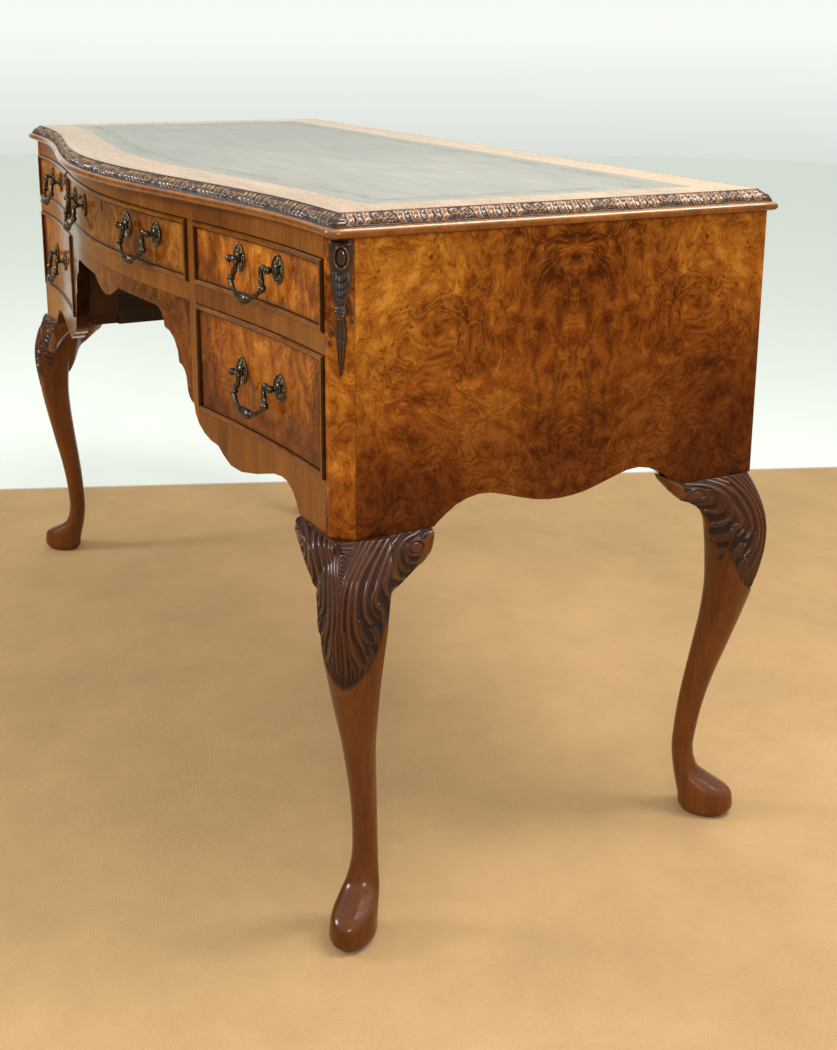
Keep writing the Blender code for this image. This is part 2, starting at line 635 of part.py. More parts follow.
def make_front_frame():
    outer = PEDESTAL_OUTER
    rail = serpentine_plan(-outer, outer, back=RAIL_BACK)
    top_rail = add_part(
        "front_top_rail", [outline_mesh([rail], UPPER_TOP, CARCASE_TOP - GAP, "plan")], CROSSBAND, DESK
    )
    mortise_half = BOLT_WIDTH / 2 + 2 * BOLT_CLEARANCE
    bolt_low, bolt_high = bolt_place()
    mortise = box_mesh(
        (-mortise_half, mortise_half),
        (bolt_low - 2 * BOLT_CLEARANCE, bolt_high + 2 * BOLT_CLEARANCE),
        (UPPER_TOP - CUT_OVERRUN, UPPER_TOP + BOLT_TRAVEL + BOLT_CLEARANCE),
    )
    cut(top_rail, mortise, "bolt_mortise")
    centre_plan = serpentine_plan(-KNEEHOLE_HALF + GAP, KNEEHOLE_HALF - GAP, back=RAIL_BACK)
    centre = outline_mesh([centre_plan], LOWER_TOP, UPPER_BOTTOM, "plan")
    centre_rail = add_part("drawer_rail_centre", [centre], CROSSBAND, DESK)
    cut(centre_rail, stops(CENTRE, UPPER_BOTTOM), "centre_rail_stops", "UNION")
    side_rail_plan = serpentine_plan(PEDESTAL_INNER + GAP, outer, back=RAIL_BACK)
    side_rail = outline_mesh([side_rail_plan], LOWER_TOP, UPPER_BOTTOM, "plan")
    pair("drawer_rail", side_rail, CROSSBAND, stops(DRAWERS[1], UPPER_BOTTOM))

    tool = lower_cutter()
    stile_plan = serpentine_plan(KNEEHOLE_HALF, PEDESTAL_INNER, back=RAIL_BACK)
    stile = outline_mesh([stile_plan], PARTITION_BOTTOM, UPPER_TOP - GAP, "plan")
    low = LEG_HEIGHT
    apron_plan = serpentine_plan(-KNEEHOLE_HALF + GAP, KNEEHOLE_HALF - GAP, depth=APRON_THICKNESS)
    apron = add_part(
        "centre_apron", [outline_mesh([apron_plan], low, LOWER_TOP - GAP, "plan")], BURR, DESK
    )
    cut(apron, tool, "apron_shape")
    side_plan = serpentine_plan(KNEEHOLE_HALF, outer, depth=APRON_THICKNESS)
    side_apron = outline_mesh([side_plan], low, LOWER_BOTTOM, "plan")
    notch = box_mesh(
        (KNEEHOLE_HALF - CUT_OVERRUN, PEDESTAL_INNER + CUT_OVERRUN),
        (CARCASE_FRONT - 2 * CARCASE_BELLY, front_y(PEDESTAL_INNER) + APRON_THICKNESS + 4 * GAP),
        (LEG_HEIGHT, LOWER_BOTTOM + GAP),
    )
    pair("stile", stile, CROSSBAND, tools=(notch, tool))
    pair("pedestal_apron", side_apron, CROSSBAND, tools=(tool,))


def stops(drawer, bed):
    """Two small blocks that the closed drawer's front comes up against."""
    behind = drawer_inner_plane(drawer) + GAP
    blocks = []
    for share in (STOP_PLACE_SHARE, 1 - STOP_PLACE_SHARE):
        middle = drawer["low_x"] + share * (drawer["high_x"] - drawer["low_x"])
        across = (middle - STOP_WIDTH / 2, middle + STOP_WIDTH / 2)
        blocks.append(box_mesh(across, (behind, behind + STOP_LENGTH), (bed - HOUSING, bed + STOP_HEIGHT)))
    return joined(blocks)


def make_inner_carcase():
    """Kneehole sides with runners and kickers on both faces, the floors and the back."""
    low_x, high_x, top = PARTITION_LOW_X, PARTITION_HIGH_X, CARCASE_TOP - GAP
    run_low, run_top, kick_low = UPPER_BOTTOM - RUNNER_HEIGHT, UPPER_BOTTOM, UPPER_TOP + GAP
    far_x, near_x = high_x + RUNNER_WIDTH, low_x - RUNNER_WIDTH
    partition = [
        (low_x, PARTITION_BOTTOM), (high_x, PARTITION_BOTTOM), (high_x, run_low), (far_x, run_low),
        (far_x, run_top), (high_x, run_top), (high_x, kick_low), (far_x, kick_low), (far_x, top),
        (near_x, top), (near_x, kick_low), (low_x, kick_low), (low_x, run_top), (near_x, run_top),
        (near_x, run_low), (low_x, run_low),
    ]
    partition_mesh = outline_mesh([partition], RAIL_BACK + GAP, BACK_INNER_FACE - GAP, "front")
    pair("kneehole_side", partition_mesh, LEG_WALNUT)
    start = APRON_THICKNESS + GAP
    floor_plan = serpentine_plan(PEDESTAL_INNER + GAP, PEDESTAL_OUTER, back=RAIL_BACK + HOUSING, start=start)
    floor_low = LOWER_BOTTOM - FLOOR_THICKNESS
    floor_front = outline_mesh([floor_plan], floor_low, LOWER_BOTTOM, "plan")
    floor_back = box_mesh(
        (PARTITION_HIGH_X + GAP, SIDE_INNER_FACE - GAP),
        (RAIL_BACK + GAP, BACK_INNER_FACE - GAP),
        (floor_low, LOWER_BOTTOM),
    )
    pair("pedestal_floor", floor_back, LINING, floor_front)
    edge = [point for point in front_edge() if point[0] > KNEEHOLE_HALF and point[1] < PARTITION_BOTTOM]
    rail_low = LOWER_TOP - BACK_RAIL_DROP
    outer = SIDE_INNER_FACE - GAP
    half = [(KNEEHOLE_HALF, rail_low), (KNEEHOLE_HALF, PARTITION_BOTTOM), *edge, (outer, LEG_HEIGHT), (outer, top)]
    outline = half + [(-x, z) for x, z in reversed(half)]
    add_part("back_panel", [outline_mesh([outline], BACK_INNER_FACE, CARCASE_BACK, "front")], BURR, DESK)


def rectangle(x1, x2, z1, z2):
    return [(x1, z1), (x2, z1), (x2, z2), (x1, z2)]


# Legs

def leg_frame(side, end):
    """Foot centre, outward diagonal, and the direction across it, for one corner of the desk."""
    if end < 0:
        foot = Vector((side * (CARCASE_HALF + FRONT_FOOT_OUT), FRONT_FOOT_Y, 0))
    else:
        foot = Vector((side * (CARCASE_HALF - BACK_FOOT_INSET), CARCASE_BACK - BACK_FOOT_INSET, 0))
    outward = Vector((side, end, 0)).normalized()
    across = Vector((side, -end, 0)).normalized()
    return foot, outward, across


def front_leg_moves(height):
    """How a front leg differs: drawn in, trimmed and moved aside, so that it meets the canted corner."""
    rise = min(1, max(0, (height - DRAW_START_SHARE) / (DRAW_END_SHARE - DRAW_START_SHARE)))
    near_top = max(0, (height - TOP_DRAW_START_SHARE) / (1 - TOP_DRAW_START_SHARE)) ** 1.5
    draw = FRONT_SPLAY * height + FRONT_KNEE_DRAW * rise + FRONT_TOP_DRAW * near_top
    trim = FRONT_KNEE_TRIM * rise + FRONT_TOP_DRAW * near_top
    aside = FRONT_LEAN * math.sin(math.pi * height) - FRONT_TOP_ASIDE * near_top
    return draw, trim, aside


def leg_rings(side, end):
    foot, outward, across = leg_frame(side, end)
    rings = []
    for height, centre, depth, width, squareness in leg_shares:
        draw, trim, aside = front_leg_moves(height) if end < 0 else (0, 0, 0)
        reach = centre * KNEE_HALF - draw
        ring = []
        for index in range(RING_POINTS):
            angle = 2 * math.pi * index / RING_POINTS
            power = 2 / squareness
            u = math.copysign(abs(math.cos(angle)) ** power, math.cos(angle)) * (depth * KNEE_HALF - trim)
            v = math.copysign(abs(math.sin(angle)) ** power, math.sin(angle)) * width * KNEE_HALF
            place = foot + outward * (reach + u) + across * (aside + v)
            place.z = height * (LEG_HEIGHT - GAP)
            ring.append(place)
        rings.append(ring)
    return rings


def stub_box(side, end):
    """Top of the leg stock, which stands inside the corner of the carcase."""
    x = (SIDE_INNER_FACE - GAP - STUB_SIDE, SIDE_INNER_FACE - GAP)
    if end < 0:
        near = CARCASE_FRONT + APRON_THICKNESS + CARCASE_BELLY / 8
        y = (near, near + STUB_SIDE)
    else:
        y = (BACK_INNER_FACE - GAP - STUB_SIDE, BACK_INNER_FACE - GAP)
    top = LOWER_BOTTOM - FLOOR_THICKNESS - 2 * GAP
    mesh = box_mesh(x, y, (LEG_HEIGHT - STUB_SIDE / 2, top))
    return mirrored(mesh) if side < 0 else mesh


def make_legs():
    """Cabriole legs, each with the square top of its stock and its two knee blocks."""
    for end, end_name in ((-1, "front"), (1, "back")):
        for side, side_name in ((1, "right"), (-1, "left")):
            name = f"leg_{end_name}_{side_name}"
            leg = add_part(name, [loft_mesh(leg_rings(side, end))], LEG_WALNUT, DESK, smooth=True)
            cut(leg, stub_box(side, end), name + "_stub", "UNION")
            for direction in ("front", "side"):
                cut(leg, loft_mesh(ear_rings(side, end, direction)), f"{name}_ear_{direction}", "UNION")


def ear_rings(side, end, direction):
    """Knee block beside a leg: sections along the carcase edge, from inside the leg to its tip."""
    rings = []
    reach = FRONT_EAR_REACH if direction == "front" else EAR_REACH
    top = LEG_HEIGHT - GAP
    edge_y = CARCASE_FRONT if end < 0 else CARCASE_BACK
    for along, drop, proud in ear_shares:
        section = [(EAR_PROUD * proud * out, top - EAR_DROP * drop * down) for out, down in ear_section_shares]
        section = [(-EAR_INSET, top), *section, (-EAR_INSET, top - EAR_DROP * drop * EAR_BACK_SHARE)]
        ring = []
        for outward, z in section:
            if direction == "front":
                x, y = CARCASE_HALF - along * reach, edge_y + end * outward
            else:
                x, y = CARCASE_HALF + outward, edge_y - end * along * reach
            ring.append((side * x, y, z))
        rings.append(ring)
    return rings


def corner_drop():
    """Carved drop, which hangs on a canted corner from just under the top."""
    middle = Vector((CARCASE_HALF - CANT / 2, CARCASE_FRONT + CANT / 2, 0))
    outward = Vector((1, -1, 0)).normalized()
    across = Vector((1, 1, 0)).normalized()
    top = CARCASE_TOP - DROP_TOP_SPACE
    rings = []
    for along, width, relief in drop_shares:
        half, thick = DROP_WIDTH / 2 * width, DROP_RELIEF * relief
        ring = []
        for a, b in drop_section_shares:
            place = middle + across * half * a + outward * (thick * b if b else -HOUSING / 2)
            ring.append((place.x, place.y, top - DROP_LENGTH * along))
        rings.append(ring)
    return loft_mesh(rings)


# Drawers

def drawer_inner_plane(drawer):
    """Back face of a drawer front, set by the front's thinnest place."""
    return max(front_y(drawer["low_x"]), front_y(drawer["high_x"])) + FRONT_THICKNESS


def make_drawer(drawer):
    name = drawer["name"]
    slide = add_empty(name + "_slide", DESK, (0, 0, 0))
    x1, x2 = drawer["low_x"], drawer["high_x"]
    z1, z2 = drawer["low"], drawer["high"]
    inner = drawer_inner_plane(drawer)
    rebate = BEAD_DEPTH - BEAD_PROUD
    back_plan = serpentine_plan(x1, x2, back=inner, start=rebate)
    front = add_part(name + "_front", [outline_mesh([back_plan], z1, z2, "plan")], BURR, slide)
    margin = BEAD_WIDTH + GAP
    core_plan = serpentine_plan(x1 + margin, x2 - margin, depth=rebate + CUT_OVERRUN)
    cut(front, outline_mesh([core_plan], z1 + margin, z2 - margin, "plan"), name + "_face", "UNION")
    groove_low = z1 + BOTTOM_RAISE - GAP
    groove_high = groove_low + BOTTOM_THICKNESS + 2 * GAP
    groove_x = (x1 + BOX_CLEARANCE + BOX_SIDE - GROOVE_DEPTH, x2 - BOX_CLEARANCE - BOX_SIDE + GROOVE_DEPTH)
    groove = box_mesh(groove_x, (inner - GROOVE_DEPTH, inner + CUT_OVERRUN), (groove_low, groove_high))
    cut(front, groove, name + "_groove")
    make_cock_bead(drawer, slide, rebate)
    make_box(drawer, slide, inner, groove_low, groove_high)
    for handle in drawer["handles"]:
        make_handle(drawer, handle, slide, front, inner)
    if drawer["lock"]:
        make_lock(front, slide)


def make_cock_bead(drawer, slide, rebate):
    """Bead round a drawer front, mitred at the corners and standing a little proud of the front."""
    x1, x2, z1, z2 = drawer["low_x"], drawer["high_x"], drawer["low"], drawer["high"]
    line = stations(x1, x2)
    places = [(x, z1, 1) for x in line] + [(x, z2, -1) for x in reversed(line)]
    rings = []
    for x, edge, inward in places:
        ring = []
        for proud, inset_share in bead_section_shares:
            inset = BEAD_WIDTH * inset_share
            depth = -BEAD_PROUD * proud if proud >= 0 else rebate - GAP
            place_x = min(max(x, x1 + inset), x2 - inset)
            ring.append((place_x, front_y(place_x) + depth, edge + inward * inset))
        rings.append(ring)
    add_part(drawer["name"] + "_cock_bead", [loft_mesh(rings, endless=True)], CROSSBAND, slide)


def make_box(drawer, slide, inner, groove_low, groove_high):
    """Sides, back and bottom of a drawer, dovetailed and glued up as one."""
    x1, x2 = drawer["low_x"] + BOX_CLEARANCE, drawer["high_x"] - BOX_CLEARANCE
    z1, z2 = drawer["low"] - DRAWER_CLEARANCE + GAP, drawer["high"] - BOX_TOP_DROP
    near, deep = inner + GAP, BACK_INNER_FACE - BOX_BACK_SPACE
    left, right, back = x1 + BOX_SIDE, x2 - BOX_SIDE, deep - BOX_SIDE
    plan = [(x1, near), (left, near), (left, back), (right, back), (right, near), (x2, near), (x2, deep), (x1, deep)]
    box = add_part(drawer["name"] + "_box", [outline_mesh([plan], z1, z2, "plan")], LINING, slide)
    reach = GROOVE_DEPTH - GAP
    bottom = box_mesh(
        (left - reach, right + reach), (inner - reach, deep - reach), (groove_low + GAP, groove_high - GAP)
    )
    cut(box, bottom, drawer["name"] + "_bottom", "UNION")


# Handles

def handle_frame(middle_x, height):
    """Frame of a handle: X from post to post, Y into the drawer, its origin on the bail's axis."""
    half = POST_SPACING / 2
    left = Vector((middle_x - half, front_y(middle_x - half), height))
    right = Vector((middle_x + half, front_y(middle_x + half), height))
    along = (right - left).normalized()
    inwards = Vector((-along.y, along.x, 0))
    reach = PLATE_SEAT + POST_REACH
    place = (left + right) / 2 - inwards * reach
    frame = Matrix((along, inwards, (0, 0, 1))).transposed().to_4x4()
    return Matrix.Translation(place) @ frame


def plate_outline(centre):
    """Rosette outline: an upright oval drawn out to a point above and below."""
    points = []
    for index in range(12):
        angle = 2 * math.pi * index / 12
        reach = 1 if index % 3 == 0 else PLATE_WAIST_SHARE
        points.append((centre + PLATE_WIDTH / 2 * reach * math.cos(angle), PLATE_HEIGHT / 2 * reach * math.sin(angle)))
    return points


def circle(centre, radius, count):
    return [
        (centre + radius * math.cos(2 * math.pi * index / count), radius * math.sin(2 * math.pi * index / count))
        for index in range(count)
    ]


def post_profile(shank):
    """Radius and height of a post, from the tip of its ball down to the nut inside the drawer."""
    profile = [(0, BALL_RADIUS)]
    for index in range(1, 5):
        angle = math.pi * index / 5.4
        profile.append((BALL_RADIUS * math.sin(angle), BALL_RADIUS * math.cos(angle)))
    plate_front = -(POST_REACH - PLATE_THICKNESS - GAP)
    profile += [
        (NECK_RADIUS, -BALL_RADIUS), (NECK_RADIUS, plate_front + FLANGE_HEIGHT),
        (FLANGE_RADIUS, plate_front + FLANGE_HEIGHT / 2), (FLANGE_RADIUS, plate_front),
        (SHANK_RADIUS, plate_front), (SHANK_RADIUS, -shank), (0, -shank),
    ]
    return profile


def make_handle(drawer, handle, slide, front, inner):
    """Two mounts, each a rosette with its post and nut, and the bail that hangs between them."""
    name, middle_x = handle
    upper = drawer["low"] > LOWER_TOP
    raise_by = UPPER_HEIGHT * HANDLE_RAISE_UPPER_SHARE if upper else LOWER_HEIGHT * HANDLE_RAISE_LOWER_SHARE
    frame = handle_frame(middle_x, (drawer["low"] + drawer["high"]) / 2 + raise_by)
    half = POST_SPACING / 2
    for centre, side_name in ((-half, "left"), (half, "right")):
        local = frame @ Matrix.Translation((centre, 0, 0)) @ Matrix.Rotation(math.radians(90), 4, "X")
        place, inwards = local.to_translation(), frame.to_3x3() @ Vector((0, 1, 0))
        to_inner = (inner - place.y) / inwards.y
        mount_name = f"{name}_handle_mount_{side_name}"
        post = turned_mesh(post_profile(to_inner + NUT_HEIGHT + FLANGE_HEIGHT), 8, local)
        mount = add_part(mount_name, [post], BRASS, slide, origin=place, smooth=True)
        plate = outline_mesh([plate_outline(centre)], POST_REACH - PLATE_THICKNESS, POST_REACH, "front")
        plate.transform(frame)
        cut(mount, plate, mount_name + "_rosette", "UNION")
        cut(mount, nut_mesh(place, inner), mount_name + "_nut", "UNION")
        cut(mount, eye_tool(frame, centre, half), mount_name + "_eye")
        bore = turned_mesh(
            [(0, -POST_REACH + CUT_OVERRUN / 2), (SHANK_HOLE_RADIUS, -POST_REACH + CUT_OVERRUN / 2),
             (SHANK_HOLE_RADIUS, -to_inner - CUT_OVERRUN), (0, -to_inner - CUT_OVERRUN)],
            8, local,
        )
        cut(front, bore, mount_name + "_bore")
    make_bail(name, frame, half, slide)


def nut_mesh(place, inner):
    """Hexagonal nut, flat against the back of the drawer front."""
    shape = outline_mesh([circle(0, NUT_RADIUS, 6)], inner + GAP, inner + GAP + NUT_HEIGHT, "front")
    shape.transform(Matrix.Translation((place.x, 0, place.z)))
    return shape


def eye_tool(frame, centre, half):
    """Blind hole in a post's ball, on the side that faces the other post."""
    side = 1 if centre < 0 else -1
    start = centre + side * (BALL_RADIUS - EYE_DEPTH)
    end = centre + side * (BALL_RADIUS + CUT_OVERRUN)
    low, high = min(start, end), max(start, end)
    tool = outline_mesh([circle(0, EYE_RADIUS, 8)], low, high, "side")
    tool.transform(frame)
    return tool


def make_bail(name, frame, half, slide):
    """Swan-neck bail, hanging, with its pins in the eyes of the posts."""
    left = []
    radii = []
    for across, drop, thickness in bail_shares:
        left.append((-half * across, -BAIL_BOW * drop * drop, -BAIL_DROP * drop))
        radii.append(thickness)
    radii[0] = radii[1] = BAIL_PIN_RADIUS / BAIL_RADIUS
    centre = [(0, -BAIL_BOW, -BAIL_DROP)]
    points = left + centre + [(-x, y, z) for x, y, z in reversed(left)]
    sizes = radii + [CARTOUCHE_RADIUS / BAIL_RADIUS] + radii[::-1]
    mesh = tube_mesh(points, sizes, BAIL_RADIUS, frame)
    add_part(name + "_bail", [mesh], BRASS, slide, origin=frame.to_translation(), smooth=True)


# Lock

def bolt_place():
    """Front and back of the lock bolt, which stands inside the lock case."""
    inner = drawer_inner_plane(CENTRE)
    middle = inner - LOCK_DEPTH / 2
    return middle - BOLT_THICKNESS / 2, middle + BOLT_THICKNESS / 2


def make_lock(front, slide):
    """Cut lock let into the back of the drawer front, its key tube, and the bolt."""
    inner = drawer_inner_plane(CENTRE)
    half = LOCK_WIDTH / 2
    top = CENTRE["high"] - LOCK_TOP_DROP
    low = top - LOCK_HEIGHT
    recess = box_mesh((-half - GAP, half + GAP), (inner - LOCK_DEPTH - GAP, inner + CUT_OVERRUN),
                      (low - GAP, CENTRE["high"] + CUT_OVERRUN))
    cut(front, recess, "lock_recess")
    case = box_mesh((-half, half), (inner - LOCK_DEPTH, inner), (low, top))
    bolt_low, bolt_high = bolt_place()
    slot_half = BOLT_WIDTH / 2 + BOLT_CLEARANCE
    slot = box_mesh(
        (-slot_half, slot_half),
        (bolt_low - BOLT_CLEARANCE, bolt_high + BOLT_CLEARANCE),
        (top - BOLT_HEIGHT - BOLT_CLEARANCE, top + CUT_OVERRUN),
    )
    key_z = CENTRE["high"] - KEYHOLE_DROP
    face = front_y(0)
    hole_half, hole_height = KEYHOLE_WIDTH / 2, KEYHOLE_HEIGHT / 2
    wall = KEY_TUBE_WALL
    tube_outer = slot_outline(hole_half + wall, hole_height + wall, key_z)
    tube_inner = slot_outline(hole_half, hole_height, key_z)
    bore = slot_outline(hole_half + wall + GAP, hole_height + wall + GAP, key_z)
    cut(front, outline_mesh([bore], face - CUT_OVERRUN, inner - LOCK_DEPTH / 2, "front"), "keyhole")
    tube = outline_mesh([tube_outer, tube_inner], face, inner - LOCK_DEPTH / 2 - HOUSING, "front")
    lock = add_part("drawer_lock", [tube], BRASS, slide)
    cut(lock, case, "lock_case", "UNION")
    cut(lock, slot, "bolt_slot")
    bolt = box_mesh((-BOLT_WIDTH / 2, BOLT_WIDTH / 2), (bolt_low, bolt_high), (top - BOLT_HEIGHT, top))
    add_part("lock_bolt", [bolt], BRASS, slide, origin=(0, (bolt_low + bolt_high) / 2, top - BOLT_HEIGHT))


def slot_outline(half, height, middle):
    """Upright slot with round ends."""
    points = []
    for index in range(5):
        angle = math.pi * index / 4
        points.append((half * math.cos(angle), middle + height - half + half * math.sin(angle)))
    for index in range(5):
        angle = math.pi + math.pi * index / 4
        points.append((half * math.cos(angle), middle - height + half + half * math.sin(angle)))
    return points


def drawer_table():
    """The five drawers: their places in the front and the handles that they carry."""
    inner, outer = PEDESTAL_INNER + DRAWER_CLEARANCE, PEDESTAL_OUTER - DRAWER_CLEARANCE
    upper = (UPPER_BOTTOM + DRAWER_CLEARANCE, UPPER_TOP - DRAWER_CLEARANCE)
    lower = (LOWER_BOTTOM + DRAWER_CLEARANCE, LOWER_TOP - DRAWER_CLEARANCE)
    middle = (inner + outer) / 2
    half = KNEEHOLE_HALF - DRAWER_CLEARANCE
    rows = [
        ("centre_drawer", -half, half, upper,
         [("centre_left", -CENTRE_HANDLE_X), ("centre_right", CENTRE_HANDLE_X)], True),
        ("upper_right_drawer", inner, outer, upper, [("upper_right", middle)], False),
        ("lower_right_drawer", inner, outer, lower, [("lower_right", middle)], False),
        ("upper_left_drawer", -outer, -inner, upper, [("upper_left", -middle)], False),
        ("lower_left_drawer", -outer, -inner, lower, [("lower_left", -middle)], False),
    ]
    keys = ("name", "low_x", "high_x", "levels", "handles", "lock")
    drawers = [dict(zip(keys, row)) for row in rows]
    for drawer in drawers:
        drawer["low"], drawer["high"] = drawer.pop("levels")
    return drawers


def centre_on_origin():
    """Move the desk so that the middle of its footprint box lies over the origin."""
    bpy.context.view_layer.update()
    depths = []
    graph = bpy.context.evaluated_depsgraph_get()
    for item in PARTS.objects:
        if item.type == "MESH":
            placed = item.evaluated_get(graph)
            depths += [(item.matrix_world @ vertex.co).y for vertex in placed.data.vertices]
    DESK.location.y = -(min(depths) + max(depths)) / 2


clear_scene()
DESK = bpy.data.objects.new("desk", None)
PARTS.objects.link(DESK)
DRAWERS = drawer_table()
CENTRE = DRAWERS[0]

make_top()
make_edge_moulding()
make_sides()
make_front_frame()
make_inner_carcase()
make_legs()
for one_drawer in DRAWERS:
    make_drawer(one_drawer)
centre_on_origin()
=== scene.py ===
"""Looks of the serpentine writing desk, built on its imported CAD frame. Metres, +Z up, front towards -Y."""
import json
import math

import bmesh
import bpy
import numpy as np
from mathutils import Matrix, Vector

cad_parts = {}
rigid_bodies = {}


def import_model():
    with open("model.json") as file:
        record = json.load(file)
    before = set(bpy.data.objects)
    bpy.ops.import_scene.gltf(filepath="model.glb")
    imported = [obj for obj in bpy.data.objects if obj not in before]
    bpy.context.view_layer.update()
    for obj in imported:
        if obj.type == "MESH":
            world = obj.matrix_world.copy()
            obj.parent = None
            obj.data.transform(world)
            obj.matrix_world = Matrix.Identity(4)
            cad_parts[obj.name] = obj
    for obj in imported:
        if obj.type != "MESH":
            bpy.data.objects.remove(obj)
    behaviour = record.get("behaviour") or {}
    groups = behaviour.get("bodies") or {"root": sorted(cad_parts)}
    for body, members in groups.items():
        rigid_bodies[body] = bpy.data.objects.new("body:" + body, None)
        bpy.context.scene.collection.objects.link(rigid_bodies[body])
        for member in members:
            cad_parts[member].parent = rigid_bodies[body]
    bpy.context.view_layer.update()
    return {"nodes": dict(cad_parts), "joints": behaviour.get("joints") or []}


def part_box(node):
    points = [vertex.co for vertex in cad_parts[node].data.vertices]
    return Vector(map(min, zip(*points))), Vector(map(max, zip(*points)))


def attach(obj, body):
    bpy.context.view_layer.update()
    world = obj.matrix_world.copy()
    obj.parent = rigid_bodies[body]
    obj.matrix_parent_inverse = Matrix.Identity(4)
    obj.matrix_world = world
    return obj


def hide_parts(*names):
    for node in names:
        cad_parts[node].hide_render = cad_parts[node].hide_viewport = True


MM = 0.001

# Sizes of the desk that the pieces follow
TOP_DEPTH = 0.518
TOP_BELLY = 0.075
WAVE_HALF = 0.600
OVERHANG = 0.009
CANT = 0.0205
GAP = 0.0003
LEG_HEIGHT = 0.4545
KNEE_HALF = 0.038
EAR_DROP = 0.112
EAR_PROUD = 0.021
EAR_INSET = 0.022
EAR_BACK = 0.5
EDGE_HEIGHT = 0.024
EDGE_FILLET = 0.0016
OVOLO_REACH = 0.0135
QUIRK = 0.0012
BEAD_RADIUS = 0.0052
COCK_BEAD_WIDTH = 0.0066
LEATHER_DEPTH = 0.409
# Tooled lines of the leather: distance inside its edge and half width
TOOLED_LINES = ((0.0225, 0.0011), (0.0285, 0.0007), (0.0315, 0.0007))
POST_SPACING = 0.093
POST_REACH = 0.0122
BAIL_RADIUS = 0.0022
UPWARDS = (0, 0, 1.0)

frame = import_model()
NODES = frame["nodes"]
top_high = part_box("top_board")[1]
TOP_HALF = top_high.x
TOP_LEVEL = top_high.z
DESK_Y = top_high.y - TOP_DEPTH
CARCASE_HALF = TOP_HALF + OVERHANG
CARCASE_FRONT = DESK_Y - OVERHANG
CARCASE_BACK = DESK_Y + TOP_DEPTH + OVERHANG
CARCASE_TOP = TOP_LEVEL - EDGE_HEIGHT


# Numbers and meshes

def wave(x, belly):
    """Serpentine line: where the front lies at x, from 0 at its ends to minus its belly."""
    return -belly * (1 + np.cos(np.pi * np.minimum(np.abs(x) / WAVE_HALF, 1))) / 2


def bell(value, middle, width):
    """1 at the middle, falling away on both sides."""
    return np.exp(-(((value - middle) / width) ** 2))


def rise(value, start, width):
    """0 up to the start, then up to 1 over the width."""
    return np.clip((value - start) / width, 0, 1)


def smooth_rows(table, places):
    """Values of a table of rows at places in its first column, along a smooth line through them."""
    table = np.array(sorted(table), float)
    keys, values = table[:, 0], table[:, 1:]
    slopes = np.gradient(values, keys, axis=0)
    index = np.clip(np.searchsorted(keys, places) - 1, 0, len(keys) - 2)
    width = (keys[index + 1] - keys[index])[:, None]
    t = ((places - keys[index])[:, None] / width).clip(0, 1)
    low, high = values[index], values[index + 1]
    low_slope, high_slope = slopes[index] * width, slopes[index + 1] * width
    return (
        (2 * t**3 - 3 * t**2 + 1) * low + (t**3 - 2 * t**2 + t) * low_slope
        + (3 * t**2 - 2 * t**3) * high + (t**3 - t**2) * high_slope
    )


def smooth_line(points, count):
    """Evenly placed points on a smooth line through a few."""
    points = np.array(points, float)
    steps = np.linalg.norm(np.diff(points, axis=0), axis=1)
    keys = np.concatenate([[0], np.cumsum(steps)])
    table = np.column_stack([keys, points])
    return smooth_rows(table.tolist(), np.linspace(0, keys[-1], count))


def ring_faces(rows, columns, endless):
    """Faces between neighbouring rings, and from the last ring to the first if endless."""
    r, c = np.meshgrid(np.arange(rows if endless else rows - 1), np.arange(columns), indexing="ij")
    r2, c2 = (r + 1) % rows, (c + 1) % columns
    quads = np.stack([r * columns + c, r * columns + c2, r2 * columns + c2, r2 * columns + c], -1)
    return quads.reshape(-1, 4).tolist()


def tube_data(rings, endless=False):
    """Points and faces of a skin over closed rings, with closed ends or run round to its start."""
    rings = np.asarray(rings, float)
    rows, columns = rings.shape[:2]
    faces = ring_faces(rows, columns, endless)
    if not endless:
        faces += [list(range(columns))[::-1], list(range((rows - 1) * columns, rows * columns))]
    return rings.reshape(-1, 3), faces


def joined(*parts):
    """Several sets of points and faces as one."""
    points, faces, start = [], [], 0
    for part_points, part_faces in parts:
        points.append(np.asarray(part_points, float).reshape(-1, 3))
        faces += [[start + index for index in face] for face in part_faces]
        start += len(points[-1])
    return np.concatenate(points), faces


def mesh_from(data, name):
    """A mesh from points and faces, with all faces looking outwards."""
    points, faces = data
    mesh = bpy.data.meshes.new(name)
    mesh.from_pydata(np.asarray(points, float).tolist(), [], faces)
    shape = bmesh.new()
    shape.from_mesh(mesh)
    bmesh.ops.recalc_face_normals(shape, faces=shape.faces)
    shape.to_mesh(mesh)
    shape.free()
    return mesh


def mesh_points(mesh):
    points = np.empty(len(mesh.vertices) * 3)
    mesh.vertices.foreach_get("co", points)
    return points.reshape(-1, 3)


def set_values(mesh, name, values):
    layer = mesh.attributes.new(name, "FLOAT", "POINT")
    layer.data.foreach_set("value", np.asarray(values, np.float32))


def set_looks(mesh, second):
    """The second material on the faces that are marked, the first on the rest."""
    mesh.polygons.foreach_set("material_index", np.asarray(second, np.int32))


def add_piece(name, mesh, look, body, nodes):
    """One dressed piece, on its body, in place of the CAD nodes that it stands for."""
    item = bpy.data.objects.new(name, mesh)
    bpy.context.scene.collection.objects.link(item)
    mesh.materials.clear()
    mesh.materials.append(look)
    mesh.shade_smooth()
    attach(item, body)
    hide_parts(*nodes)
    return item


def modified(mesh, kind, **settings):
    """A mesh after one modifier."""
    item = bpy.data.objects.new("modified", mesh)
    bpy.context.scene.collection.objects.link(item)
    step = item.modifiers.new("step", kind)
    for key, value in settings.items():
        setattr(step, key, value)
    bpy.context.view_layer.update()
    done = bpy.data.meshes.new_from_object(item.evaluated_get(bpy.context.evaluated_depsgraph_get()))
    bpy.data.objects.remove(item)
    return done


